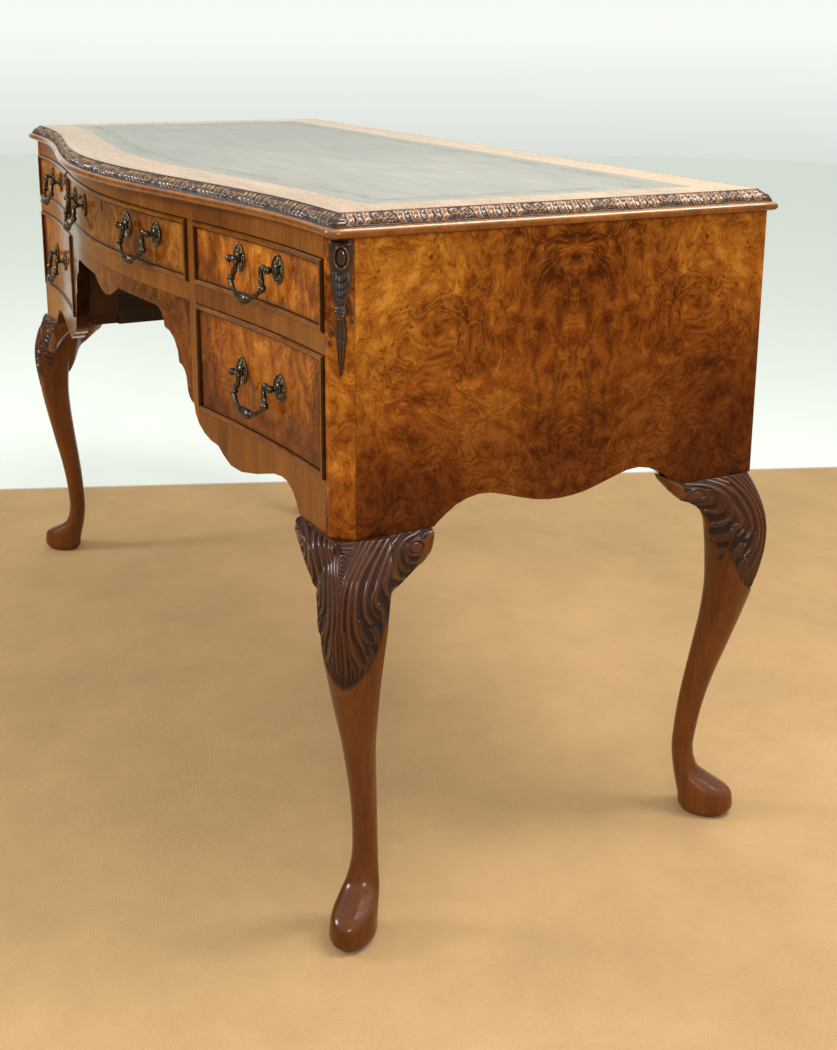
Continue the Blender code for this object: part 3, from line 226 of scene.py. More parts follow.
def mirrored(mesh):
    """The same mesh on the other side of the desk."""
    other = mesh.copy()
    other.transform(Matrix.Diagonal((-1, 1, 1, 1)))
    other.flip_normals()
    return other


# Materials

class Nodes:
    """One node tree; a math step is called by its own name, as in n.multiply(a, b)."""

    def __init__(self, tree):
        self.tree = tree

    def __getattr__(self, operation):
        def step(*values):
            return self.node("Math", dict(enumerate(values)), operation=operation.upper()).outputs[0]
        return step

    def put(self, value, socket):
        if isinstance(value, bpy.types.NodeSocket):
            self.tree.links.new(value, socket)
        else:
            socket.default_value = value

    def node(self, kind, inputs=(), **settings):
        made = self.tree.nodes.new("ShaderNode" + kind)
        for key, value in settings.items():
            setattr(made, key, value)
        for key, value in dict(inputs).items():
            self.put(value, made.inputs[key])
        return made

    def vector(self, operation, first, second):
        return self.node("VectorMath", {0: first, 1: second}, operation=operation).outputs

    def dot(self, first, second):
        return self.vector("DOT_PRODUCT", first, second)["Value"]

    def scaled(self, vector, factors):
        return self.vector("MULTIPLY", vector, factors)[0]

    def parts(self, vector):
        return list(self.node("SeparateXYZ", {0: vector}).outputs)

    def towards(self, direction):
        """How far a face looks in a direction, from -1 to 1."""
        return self.dot(self.node("NewGeometry").outputs["Normal"], direction)

    def mark(self, name):
        return self.node("Attribute", attribute_name=name).outputs["Fac"]

    def mix(self, factor, first, second, blend="MIX"):
        made = self.node("Mix", {0: factor}, data_type="RGBA", blend_type=blend)
        for key, value in ((6, first), (7, second)):
            self.put((*value, 1) if isinstance(value, tuple) else value, made.inputs[key])
        return made.outputs[2]

    def times(self, first, second):
        return self.mix(1.0, first, second, "MULTIPLY")

    def ramp(self, factor, stops):
        made = self.node("ValToRGB", {0: factor})
        elements = made.color_ramp.elements
        while len(elements) < len(stops):
            elements.new(0.5)
        for element, (place, colour) in zip(elements, stops):
            element.position = place
            element.color = (*colour, 1) if isinstance(colour, tuple) else (colour, colour, colour, 1)
        return made.outputs[0]

    def noise(self, vector, scale, detail=2.0, roughness=0.5, output=0):
        inputs = {"Vector": vector, "Scale": scale, "Detail": detail, "Roughness": roughness}
        return self.node("TexNoise", inputs).outputs[output]

    def shifted(self, vector, scale, amount, detail=1.0):
        """A place moved about by noise, which makes grain swirl."""
        cloud = self.noise(vector, scale, detail, output="Color")
        centred = self.vector("SUBTRACT", cloud, (0.5, 0.5, 0.5))[0]
        return self.vector("ADD", vector, self.scaled(centred, (amount, amount, amount)))[0]

    def bump(self, height, distance, strength=0.5):
        return self.node("Bump", {"Height": height, "Distance": distance, "Strength": strength}).outputs[0]

    def worn(self, colour, dark, light, dark_share, light_share):
        """Colour with dark polish and painted shade in the recesses, and wear and painted highlights on the
        crests of carving.
        """
        colour = self.mix(self.multiply(self.mark("crest"), light_share), colour, light)
        return self.mix(self.multiply(self.mark("recess"), dark_share), colour, dark)

    def shade(self, **values):
        """Values of the main shader, by the names of its sockets."""
        for key, value in values.items():
            self.put(value, self.tree.nodes["Principled BSDF"].inputs[key.replace("_", " ")])


def new_material(name, colour):
    """A material, its nodes, and the place of a point on the desk."""
    made = bpy.data.materials.new(name)
    made.use_nodes = True
    made.diffuse_color = (*colour, 1)
    n = Nodes(made.node_tree)
    return made, n, n.node("TexCoord").outputs["Object"]


def ripple(n, from_seam, level, away):
    """Dark share of a wavy line of the figure that runs beside the seam at one distance from it."""
    heights = n.node("CombineXYZ", {2: level, 0: away}).outputs[0]
    sway = n.multiply_add(n.noise(heights, 20, 2.0, 0.5), 0.044, away - 0.022)
    off = n.absolute(n.subtract(from_seam, sway))
    line = n.ramp(n.multiply(off, 100), [(0.0, 1.0), (0.12, 0.7), (0.40, 0.0)])
    extent = n.ramp(level, [(0.50, 0.0), (0.57, 1.0), (0.63, 1.0), (0.70, 0.0)])
    return n.multiply(line, extent)


def burr_figure(n, place, around):
    """Colour of burr walnut: swirls, veins, eyes and flecks; and its mottle, for the surface."""
    swirl = n.shifted(n.shifted(place, 7.0, 0.09, 2.0), 30, 0.022, 3.0)
    islands = n.noise(swirl, 6.0, 2.0, 0.5)
    mottle = n.noise(swirl, 55, 7.0, 0.66)
    contour = n.noise(swirl, 17, 2.0, 0.5)
    lines = n.sine(n.multiply(contour, 125))
    tone = n.multiply_add(islands, 0.46, n.multiply(mottle, 0.54))
    bands = n.ramp(around, [(0.44, 0.006), (0.60, 0.030)])
    tone = n.multiply_add(lines, bands, tone)
    veins = n.ramp(n.absolute(n.subtract(contour, 0.5)), [(0.0, 0.62), (0.008, 1.0)])
    colour = n.ramp(tone, [
        (0.36, (0.056, 0.011, 0.001)), (0.44, (0.145, 0.033, 0.003)), (0.50, (0.228, 0.059, 0.005)),
        (0.56, (0.315, 0.091, 0.008)), (0.64, (0.445, 0.156, 0.016)),
    ])
    eyes = n.node("TexVoronoi", {"Vector": swirl, "Scale": 135.0}).outputs["Distance"]
    eye_share = n.ramp(eyes, [(0.10, 1.0), (0.30, 0.0)])
    clusters = n.ramp(n.noise(place, 16, 2.0), [(0.50, 0.0), (0.60, 0.75)])
    colour = n.mix(n.multiply(eye_share, clusters), colour, (0.045, 0.010, 0.002))
    fleck = n.ramp(n.noise(place, 520, 2.0, 0.6), [(0.34, 0.70), (0.54, 1.0)])
    return n.times(n.times(colour, fleck), veins), mottle


def edge_shade_share(n, where, field):
    """Painted shade along the edges of a drawer front, inside its cock bead, where the bead's shadow falls.
    """
    low, high = field
    parts = n.parts(where)
    insets = []
    for axis in (0, 2):
        middle, half = (low[axis] + high[axis]) / 2, (high[axis] - low[axis]) / 2 - COCK_BEAD_WIDTH
        insets.append(n.subtract(half, n.absolute(n.subtract(parts[axis], middle))))
    return n.ramp(n.multiply(n.minimum(*insets), 100), [(0.10, 0.22), (0.17, 0.72), (0.70, 1.0)])


def burr_walnut(
    name, mirror_axis=None, mirror_place=0.0, shade=1.0, falloff=None, field=None, stretch=1.0, inside=False,
    ripples=(),
):
    """Burr walnut veneer, matched like an open book at one line if mirror_axis is given."""
    made, n, where = new_material(name, (0.24, 0.08, 0.02))
    place = where
    if mirror_axis is not None:
        sides = n.parts(where)
        sides[mirror_axis] = n.absolute(n.subtract(sides[mirror_axis], mirror_place))
        place = n.node("CombineXYZ", dict(enumerate(sides))).outputs[0]
    place = n.scaled(place, (1, 1, stretch))
    around = n.noise(place, 9, 2.0)
    colour, mottle = burr_figure(n, place, around)
    for away in ripples:
        dark = ripple(n, sides[mirror_axis], n.parts(where)[2], away)
        colour = n.mix(n.multiply(dark, 0.45), colour, (0.055, 0.012, 0.002))
    # Painted light: the veneer grows lighter and more golden along the given direction, lit above and in
    # painted shade below.
    if falloff is not None:
        direction, low, high = falloff
        along = n.divide(n.subtract(n.dot(where, direction), low), high - low)
        lit = n.ramp(along, [
            (0.0, (0.32, 0.27, 0.38)), (0.29, (0.37, 0.32, 0.44)), (0.5, (0.74, 0.74, 0.85)),
            (1.0, (1.06, 1.28, 1.6)),
        ])
        colour = n.times(colour, lit)
    # Painted shade beside the cock bead of a drawer front.
    if field is not None:
        colour = n.times(colour, edge_shade_share(n, where, field))
    polish = n.ramp(around, [(0.3, 0.11), (0.7, 0.16)])
    # Painted shade: faces turned away from the front are darkened, as in the shadow under the desk, and made
    # rougher.
    if inside:
        front = n.towards((0, -1, 0))
        colour = n.times(colour, n.ramp(front, [(0.25, 0.10), (0.5, 1.0)]))
        polish = n.add(polish, n.ramp(front, [(0.25, 0.8), (0.5, 0.0)]))
    # The shade factor is painted light and shade: the same veneer made lighter or darker for the light each
    # piece gets.
    colour = n.times(colour, (shade, shade, shade))
    n.shade(Base_Color=colour, Roughness=polish, Specular_IOR_Level=0.5, IOR=1.23)
    n.shade(Normal=n.bump(mottle, 0.0003, 0.08))
    return made


def straight_walnut(
    name, grain, tones, leaf_axis=None, leaf_width=0.075, polish=0.25, sheen=0.5, grain_share=1.0,
    painted_side_shade=False, wear_and_highlight=(0.20, 0.060, 0.020), wear_and_highlight_share=0.42,
):
    """Straight-grained walnut; grain is how fast the figure changes along X, Y and Z."""
    made, n, place = new_material(name, tones[1])
    stretched = n.scaled(n.shifted(place, 6, 0.012, 1.0), grain)
    streaks = n.noise(stretched, 1.0, 5.0, 0.62)
    broad = n.noise(stretched, 0.22, 2.0, 0.5)
    fine = 0.6 * grain_share
    tone = n.multiply_add(streaks, fine, n.multiply_add(broad, 0.4, 0.5 * (0.6 - fine)))
    if leaf_axis is not None:
        leaf = n.floor(n.divide(n.parts(place)[leaf_axis], leaf_width))
        offset = n.node("TexWhiteNoise", {"W": leaf}, noise_dimensions="1D").outputs[0]
        tone = n.add(tone, n.multiply_add(offset, 0.17, -0.085))
    colour = n.ramp(tone, [(0.32, tones[0]), (0.5, tones[1]), (0.68, tones[2])])
    pores = n.noise(n.scaled(stretched, (6, 6, 6)), 1.0, 2.0)
    colour = n.times(colour, n.ramp(pores, [(0.34, 1 - 0.4 * grain_share), (0.5, 1.0)]))
    colour = n.mix(n.multiply(n.mark("carved"), 0.84), colour, (0.038, 0.0115, 0.0065))
    # Dark polish and painted shade in recesses; wear, and on the bead a painted highlight, on crests.
    colour = n.worn(colour, (0.009, 0.0036, 0.0026), wear_and_highlight, 0.88, wear_and_highlight_share)
    # Painted shade: faces that look to either side are darkened, as the shaded sides of rails and cock beads.
    if painted_side_shade:
        sideways = n.absolute(n.towards((1, 0, 0)))
        colour = n.times(colour, n.ramp(sideways, [(0.55, 1.0), (0.72, 0.20)]))
    n.shade(Base_Color=colour, Roughness=n.multiply_add(n.mark("recess"), 0.45, polish))
    n.shade(Specular_IOR_Level=sheen, IOR=1.4, Normal=n.bump(streaks, 0.0003, 0.15))
    return made


def carved_walnut(name):
    """Carved and stained walnut: dark polish and painted shade in the hollows, wear and painted highlights on
    the crests.
    """
    made, n, place = new_material(name, (0.12, 0.045, 0.02))
    streaks = n.noise(place, 120, 4.0, 0.6)
    colour = n.ramp(streaks, [(0.3, (0.040, 0.017, 0.010)), (0.7, (0.085, 0.032, 0.015))])
    # Crests: wood lightened by wear, with a painted cream highlight on the highest rims.
    wear_and_highlight = n.ramp(n.mark("crest"), [(0.35, (0.43, 0.14, 0.020)), (0.95, (0.68, 0.40, 0.175))])
    colour = n.worn(colour, (0.010, 0.005, 0.003), wear_and_highlight, 0.92, 0.85)
    # Painted shade with a painted cool reflection: carving that faces the front is darker and bluer.
    front = n.towards((0, -1, 0))
    colour = n.times(colour, n.ramp(front, [(0.10, (1.0, 1.0, 1.0)), (0.60, (0.36, 0.42, 0.62))]))
    polish = n.ramp(n.noise(place, 160, 2.0), [(0.3, 0.12), (0.7, 0.22)])
    polish = n.multiply_add(n.mark("recess"), 0.5, polish)
    n.shade(Base_Color=colour, Roughness=polish, Specular_IOR_Level=0.7)
    return made


def oak_lining(name):
    made, n, place = new_material(name, (0.42, 0.28, 0.15))
    rings = n.noise(n.scaled(n.shifted(place, 5, 0.01), (40, 6, 160)), 1.0, 5.0, 0.65)
    colour = n.ramp(rings, [
        (0.3, (0.26, 0.155, 0.075)), (0.55, (0.43, 0.29, 0.16)), (0.75, (0.52, 0.37, 0.22)),
    ])
    pores = n.noise(n.scaled(place, (900, 60, 900)), 1.0, 2.0)
    colour = n.times(colour, n.ramp(pores, [(0.33, 0.55), (0.45, 1.0)]))
    n.shade(Base_Color=colour, Roughness=0.62, Normal=n.bump(rings, 0.0004, 0.3))
    return made


def tooled_share(n, place):
    """Where the tooled lines run, at three distances inside the leather's edge."""
    low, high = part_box("leather_writing_surface")
    parts = n.parts(place)
    across = n.absolute(parts[0])
    side, back = n.subtract(high.x, across), n.subtract(high.y, parts[1])
    swing = n.cosine(n.multiply(n.minimum(n.divide(across, WAVE_HALF), 1.0), math.pi))
    belly = (high.y - LEATHER_DEPTH - low.y) / 2
    front = n.subtract(parts[1], n.multiply_add(swing, -belly, low.y + belly))
    inset = n.minimum(n.minimum(side, back), front)
    tooled = None
    for line_inset, width in TOOLED_LINES:
        share = n.less_than(n.absolute(n.subtract(inset, line_inset)), width)
        tooled = share if tooled is None else n.maximum(tooled, share)
    return tooled


def green_leather(name):
    """Leather with its grain and wear, and tooled lines inside its edge."""
    made, n, place = new_material(name, (0.12, 0.14, 0.11))
    cells = n.node("TexVoronoi", {"Vector": place, "Scale": 620.0}).outputs["Distance"]
    cloud = n.noise(place, 3.2, 4.0, 0.6)
    streak = n.noise(n.scaled(place, (9, 55, 1)), 1.0, 3.0, 0.6)
    tone = n.multiply_add(streak, 0.35, n.multiply(cloud, 0.65))
    colour = n.ramp(tone, [
        (0.35, (0.200, 0.196, 0.166)), (0.55, (0.280, 0.272, 0.235)), (0.7, (0.360, 0.344, 0.298)),
    ])
    tooled = tooled_share(n, place)
    gilt = n.ramp(n.noise(place, 45, 3.0), [(0.45, (0.035, 0.04, 0.03)), (0.62, (0.30, 0.27, 0.14))])
    colour = n.mix(n.multiply(tooled, 0.8), colour, gilt)
    height = n.multiply_add(tooled, -0.8, n.multiply(cells, 0.4))
    spots = n.ramp(cloud, [(0.3, 0.34), (0.7, 0.46)])
    n.shade(Base_Color=colour, Roughness=spots, Normal=n.bump(height, 0.0003, 0.35))
    return made


def aged_brass(name):
    made, n, place = new_material(name, (0.2, 0.16, 0.1))
    patina = n.noise(place, 260, 4.0, 0.65)
    colour = n.ramp(patina, [
        (0.35, (0.035, 0.030, 0.024)), (0.55, (0.085, 0.070, 0.050)), (0.75, (0.22, 0.18, 0.11)),
    ])
    colour = n.worn(colour, (0.012, 0.010, 0.008), (0.50, 0.43, 0.29), 0.9, 0.8)
    spots = n.ramp(patina, [(0.3, 0.34), (0.7, 0.20)])
    n.shade(Base_Color=colour, Roughness=spots, Metallic=0.9, Normal=n.bump(patina, 0.0002, 0.3))
    return made


LEG_TONES = ((0.052, 0.0115, 0.0015), (0.122, 0.031, 0.0035), (0.205, 0.062, 0.008))
RAIL_TONES = ((0.100, 0.025, 0.002), (0.200, 0.057, 0.005), (0.31, 0.105, 0.012))
TOP_TONES = ((0.40, 0.245, 0.125), (0.50, 0.325, 0.18), (0.57, 0.39, 0.235))
MOULDED_TONES = ((0.13, 0.035, 0.005), (0.25, 0.078, 0.010), (0.37, 0.13, 0.020))
KNEEHOLE_SHADE_TONES = ((0.008, 0.003, 0.001), (0.017, 0.007, 0.003), (0.030, 0.013, 0.005))
LEG = straight_walnut("leg_walnut_wood", (45, 45, 5), LEG_TONES, polish=0.20, grain_share=0.5)
RAIL = straight_walnut(
    "crossbanded_rail", (60, 60, 9), RAIL_TONES, 0, polish=0.14, sheen=0.35, grain_share=0.55,
    painted_side_shade=True,
)
BEAD = straight_walnut("bead_walnut", (30, 90, 90), RAIL_TONES, polish=0.14, painted_side_shade=True)
TOP = straight_walnut("crossbanded_top", (14, 90, 60), TOP_TONES, 1, leaf_width=0.09, polish=0.27)
# Its pale crest colour is a painted highlight along the top of the bead round the top.
MOULDED = straight_walnut(
    "moulded_walnut", (40, 40, 90), MOULDED_TONES, polish=0.13, sheen=0.9, wear_and_highlight=(0.84, 0.50, 0.24),
    wear_and_highlight_share=0.55,
)
# Near-black walnut on the kneehole sides: painted shade.
DARK = straight_walnut("kneehole_walnut", (60, 6, 60), KNEEHOLE_SHADE_TONES, polish=0.5)
CARVED = carved_walnut("carved_walnut_edge")
LINING = oak_lining("oak_lining_wood")
LEATHER = green_leather("tooled_green_leather")
BRASS = aged_brass("aged_brass_metal")


# Carried-over CAD nodes

def crisp(item, degrees):
    item.modifiers.new("crisp", "EDGE_SPLIT").split_angle = math.radians(degrees)


def soften(name):
    """Smooth shading over the curves of a CAD node, with its real edges kept crisp."""
    item = NODES[name]
    mesh = item.data
    if "custom_normal" in mesh.attributes:
        mesh.attributes.remove(mesh.attributes["custom_normal"])
    mesh.shade_smooth()
    item.modifiers.new("weld", "WELD").merge_threshold = GAP / 20
    crisp(item, 28)


def middle_of(name, axis):
    low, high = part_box(name)
    return (low[axis] + high[axis]) / 2


# Brightness of the drawer fronts by row: painted light and shade, darkest on the centre drawers that turn
# away from the light.
DRAWER_LIGHT_AND_SHADE = {"centre": 1.0, "upper": 2.0, "lower": 1.75}
# Painted light on the burr: the direction, and the distances along it from painted shade to full light.
DRAWER_PAINTED_LIGHT = (UPWARDS, 0.46, 0.74)
SIDE_PAINTED_LIGHT = ((0, -0.22, 1.0), 0.44, 0.80)
POST_PAINTED_LIGHT = (UPWARDS, 0.20, 0.66)


def drawer_burr(name):
    """Burr of one drawer front, matched at its middle, with painted light and shade by its row and its
    height.
    """
    shade = DRAWER_LIGHT_AND_SHADE[name.split("_")[0]]
    return burr_walnut("burr_" + name, 0, middle_of(name, 0), shade, DRAWER_PAINTED_LIGHT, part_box(name), 0.5)


def dress_nodes():
    """Looks of the CAD nodes: the first entry whose words are part of a node's name counts."""
    seam = middle_of("side_panel_right", 1)
    # Copies of the burr at different brightness paint the light and shade on each piece; the apron's inner
    # faces get painted shade.
    side_burr = burr_walnut("burr_side_panel", 1, seam, 1.42, SIDE_PAINTED_LIGHT, ripples=(0.024, 0.045))
    post_burr = burr_walnut("burr_corner_post", shade=1.7, falloff=POST_PAINTED_LIGHT)
    apron_burr = burr_walnut("burr_apron", 0, 0.0, 0.88, inside=True)
    back_burr = burr_walnut("burr_back_panel", 0, 0.0, 0.8)
    looks = [
        ("side_panel", side_burr), ("back_panel", back_burr), ("corner_post", post_burr),
        ("centre_apron", apron_burr), ("_drawer_front", drawer_burr), ("_box", LINING),
        ("pedestal_floor", LINING), ("leg_", LEG), ("kneehole_side", DARK), ("top_board", TOP),
        ("leather_writing_surface", LEATHER), ("edge_moulding", CARVED), ("_cock_bead", BEAD),
        ("handle_mount", BRASS), ("_bail", BRASS), ("lock", BRASS), ("", RAIL),
    ]
    for name, item in NODES.items():
        soften(name)
        look = next(look for part, look in looks if part in name)
        item.data.materials.clear()
        item.data.materials.append(look(name) if look is drawer_burr else look)


# Carved edge of the top

OVOLO_DEPTH = EDGE_HEIGHT - 2 * BEAD_RADIUS - 2 * QUIRK
CARVING_DEPTH = 3.4 * MM
UNIT_LENGTH = 0.092
EDGE_STEP = 1.15 * MM
# In millimetres: half the width of the two buds, pitch of the leaves, place and sizes of a bud
BUDS_HALF = 13.0
LEAF_PITCH = 9.2
BUD_OFF, BUD_LEVEL, BUD_STRETCH = 7.1, 0.34, 17.5
BUD_RADIUS, BUD_RING, BUD_DOME = 6.6, 5.0, 3.3


def unit_relief(x, v):
    """Relief of one unit of the carved edge, 0 in its grooves and 1 on its crests, and how much its crests
    are lightened by wear and a painted highlight.

    x runs along the edge in millimetres from the middle of the two buds, and v across it from 0 to 1.
    """
    a = np.abs(x)
    lean = 5.0 * v**1.5 + 1.2 * np.sin(2 * np.pi * v)
    step = (a - BUDS_HALF - lean) / LEAF_PITCH
    leaf = np.floor(step)
    share = step - leaf
    hollow = 0.22 + 0.34 * share + 0.16 * bell(share, 0.45, 0.05)
    rim = np.maximum(bell(share, 0.82, 0.12), 0.72 * bell(share, 0.20, 0.09))
    tongue = np.maximum(hollow * rise(share, 0.06, 0.10), rim) * rise(-share, -1, 0.07)
    tip = 0.95 + 0.05 * np.sin(np.pi * share**1.5)
    tongue = tongue * rise(-v, -tip, 0.04)
    inside = a < BUDS_HALF + lean
    under = inside & (v > 0.46)
    fan_share = a / (BUDS_HALF + lean)
    fan_step = 3.0 * fan_share + 0.5
    fan = (fan_step - np.floor(fan_step)) ** 1.6 * rise(-v, 0.10 * fan_share - 0.98, 0.05)
    relief = np.where(under, 0.12 + 0.74 * fan, np.where(inside, 0.05, tongue))
    radius = np.hypot(a - BUD_OFF, (v - BUD_LEVEL) * BUD_STRETCH)
    ring = bell(radius, BUD_RING, 1.0) * (0.5 + 0.5 * rise(v, 0.2, 0.2))
    dome = 0.80 * np.sqrt(np.clip(1 - (radius / BUD_DOME) ** 2, 0, 1))
    bud = radius < BUD_RADIUS
    relief = np.where(bud, np.maximum(ring, dome), relief)
    # Lighter rims and crests: wear and painted highlight.
    wear_and_highlight = rise(relief, 0.50, 0.25) + 0.40 * rise(relief, 0.12, 0.15) * (leaf % 2 == 0)
    wear_and_highlight = np.where(under, 0.9 * rise(relief, 0.5, 0.3), wear_and_highlight)
    wear_and_highlight = np.where(bud, np.maximum(0.95 * ring, 0.30 * (radius < 3.2)), wear_and_highlight)
    return relief, wear_and_highlight


def edge_stations():
    """Places along the top's edge: point, outward direction, and where it lies in its carved unit."""
    x = np.linspace(-TOP_HALF, TOP_HALF, 1150)
    right, left, front, back = TOP_HALF, -TOP_HALF, DESK_Y, DESK_Y + TOP_DEPTH
    corners = [(right, front), (right, back), (left, back), (left, front)]
    lines = [np.column_stack([x, DESK_Y + wave(x, TOP_BELLY)])]
    lines += [np.array(corners[i:i + 2]) for i in range(3)]
    places, units = [], []
    for line in lines:
        steps = np.concatenate([[0], np.cumsum(np.linalg.norm(np.diff(line, axis=0), axis=1))])
        length = steps[-1]
        at = np.linspace(0, length, int(length / EDGE_STEP) + 1)[:-1]
        places.append(np.column_stack([np.interp(at, steps, line[:, axis]) for axis in (0, 1)]))
        pitch = length / round(length / UNIT_LENGTH)
        units.append(((at % pitch) - pitch / 2) * (UNIT_LENGTH / pitch))
    places, units = np.concatenate(places), np.concatenate(units)
    after = np.roll(places, -1, axis=0) - places
    after /= np.linalg.norm(after, axis=1)[:, None]
    before = np.roll(after, 1, axis=0)
    out_after, out_before = (np.column_stack([way[:, 1], -way[:, 0]]) for way in (after, before))
    share = 1 + (out_after * out_before).sum(1)
    return places, (out_after + out_before) / share[:, None], units


def make_edge():
    """The carved moulding round the top, as one skin."""
    places, outward, units = edge_stations()
    v = np.linspace(0, 1, 30)
    angle = np.pi / 2 * v
    relief, wear_and_highlight = unit_relief(units[:, None] / MM, v[None, :])
    run_out = np.minimum(0.10 + v / 0.20, 0.25 + (1 - v) / 0.12)
    depth = CARVING_DEPTH * (1 - relief) * np.clip(run_out, 0, 1)
    out = EDGE_FILLET + (OVOLO_REACH - EDGE_FILLET) * np.sin(angle) - depth * np.sin(angle)
    below = QUIRK + OVOLO_DEPTH * (1 - np.cos(angle)) + depth * np.cos(angle)
    turns = np.linspace(0, np.pi, 14)
    bead_below = EDGE_HEIGHT - BEAD_RADIUS * (1 + np.cos(turns))
    bead = np.column_stack([OVOLO_REACH - QUIRK + BEAD_RADIUS * np.sin(turns), bead_below])
    head = np.array([[GAP, 0], [EDGE_FILLET - 0.3 * MM, 0], [EDGE_FILLET, 0.3 * MM]])
    foot = np.array([[GAP, EDGE_HEIGHT]])
    rows = (len(places), 1)
    profile = []
    for k, middle in enumerate((out, below)):
        start, bead_part, end = (np.tile(part[:, k], rows) for part in (head, bead, foot))
        profile.append(np.concatenate([start, middle, bead_part, end], 1))
    points = np.empty((*profile[0].shape, 3))
    points[..., :2] = places[:, None] + outward[:, None] * profile[0][..., None]
    points[..., 2] = TOP_LEVEL - profile[1]
    mesh = mesh_from(tube_data(points, endless=True), "carved_edge")
    recess, crest = np.zeros(profile[0].shape), np.zeros(profile[0].shape)
    carved = slice(len(head), len(head) + len(v))
    # Grooves get dark polish and painted shade; rims get wear and a painted highlight.
    recess[:, carved] = rise(-relief, -0.26, 0.20)
    crest[:, carved] = np.clip(wear_and_highlight, 0, 1)
    # Painted highlight along the upper rounding of the bead, mostly left off where the bead faces the front.
    towards_front = np.clip(-outward[:, 1:2], 0, 1)
    crest[:, carved.stop:carved.stop + len(turns)] = bell(turns, 0.80, 0.22) * (1 - 0.8 * towards_front)
    set_values(mesh, "recess", recess.ravel())
    set_values(mesh, "crest", crest.ravel())
    add_piece("carved_edge_moulding", mesh, CARVED, "carcase", ["edge_moulding"])
    mesh.materials.append(MOULDED)
    first = np.array([face.vertices[0] % points.shape[1] for face in mesh.polygons])
    set_looks(mesh, (first >= carved.stop) | (first < 2))


# Legs

# Leg sections: height, centre, depth and width as shares, then the squareness of the section
leg_shares = [
    (1.0, -0.21, 0.95, 0.95, 1.35), (0.98, -0.08, 0.975, 0.99, 1.35), (0.957, 0.053, 1.0, 1.03, 1.35),
    (0.909, 0.263, 1.026, 1.07, 1.35), (0.854, 0.434, 1.008, 1.06, 1.35), (0.805, 0.474, 0.974, 1.02, 1.37),
    (0.748, 0.447, 0.895, 0.92, 1.4), (0.682, 0.355, 0.776, 0.80, 1.45), (0.598, 0.158, 0.658, 0.655, 1.6),
    (0.5, -0.132, 0.553, 0.487, 1.8), (0.405, -0.421, 0.458, 0.405, 2.0), (0.319, -0.632, 0.405, 0.37, 2.0),
    (0.238, -0.763, 0.368, 0.365, 2.0), (0.185, -0.805, 0.353, 0.385, 2.0), (0.147, -0.745, 0.374, 0.43, 2.0),
    (0.115, -0.60, 0.46, 0.51, 2.0), (0.093, -0.34, 0.67, 0.58, 2.0), (0.073, -0.09, 0.87, 0.63, 2.0),
    (0.042, 0.026, 0.905, 0.655, 2.0), (0.014, 0.026, 0.86, 0.63, 2.0), (0.0, 0.0, 0.72, 0.52, 2.0),
]
# Knee block: share of its reach, share of its drop and share of how proud it stands
ear_tip = [(0.68, 0.50, 0.6), (0.83, 0.38, 0.5), (0.94, 0.29, 0.42), (0.985, 0.20, 0.38), (1.0, 0.08, 0.3)]
ear_shares = [(0.36, 1.0, 1.0), (0.45, 0.84, 0.9), (0.53, 0.64, 0.75)] + ear_tip
front_ear_shares = [
    (0.02, 1.10, 0.4), (0.13, 0.98, 0.55), (0.24, 0.83, 0.72), (0.36, 0.70, 0.8), (0.50, 0.60, 0.72),
] + ear_tip
side_ear_shares = [(0.02, 1.08, 0.5), (0.20, 1.04, 0.8)] + ear_shares
back_ear_shares = [
    (0.36, 1.00, 1), (0.46, 0.77, 0.9), (0.556, 0.58, 0.75), (0.62, 0.40, 0.62),
    (0.76, 0.24, 0.5), (0.86, 0.19, 0.46), (0.94, 0.15, 0.42), (0.985, 0.10, 0.38), (1, 0.04, 0.3),
]
EAR_TABLES = {
    (-1, "front"): front_ear_shares, (-1, "side"): side_ear_shares,
    (1, "front"): ear_shares, (1, "side"): back_ear_shares,
}
ear_section_shares = [(0.1, 0.0), (0.75, 0.1), (1.0, 0.225), (1.0, 0.45), (0.55, 0.835), (0.0, 1.0)]
# Feet from the carcase's lines, reach of the knee blocks, and how much longer the back ones' tips are
FRONT_FOOT_ASIDE, FRONT_FOOT_BEHIND, BACK_FOOT_INSIDE = 0.009, 0.002, 0.0215
FRONT_EAR_REACH, SIDE_EAR_REACH = 0.096, 0.108
EAR_LONG_TIP = 0.15
# Where the arch of the sides begins, from the corner, and how steeply it rises
ARCH_START = 0.100
ARCH_RISE = 0.42


def leg_frame(end):
    """Foot, outward diagonal and the direction across it, of a right-hand leg."""
    if end < 0:
        foot = np.array([CARCASE_HALF + FRONT_FOOT_ASIDE, DESK_Y + FRONT_FOOT_BEHIND])
    else:
        foot = np.array([CARCASE_HALF - BACK_FOOT_INSIDE, CARCASE_BACK - BACK_FOOT_INSIDE])
    return foot, np.array([1, end]) / math.sqrt(2), np.array([1, -end]) / math.sqrt(2)


def leg_moves(height, end):
    """How a front leg is drawn in, trimmed and moved aside."""
    if end > 0:
        return np.zeros((3, len(height)))
    upper, near_top = rise(height, 0.45, 0.30), rise(height, 0.93, 0.07) ** 1.5
    draw = 0.0136 * height + 0.0045 * upper + 0.0075 * near_top
    trim = 0.0038 * upper + 0.0075 * near_top
    return draw, trim, 0.0025 * np.sin(np.pi * height) - 0.005 * near_top


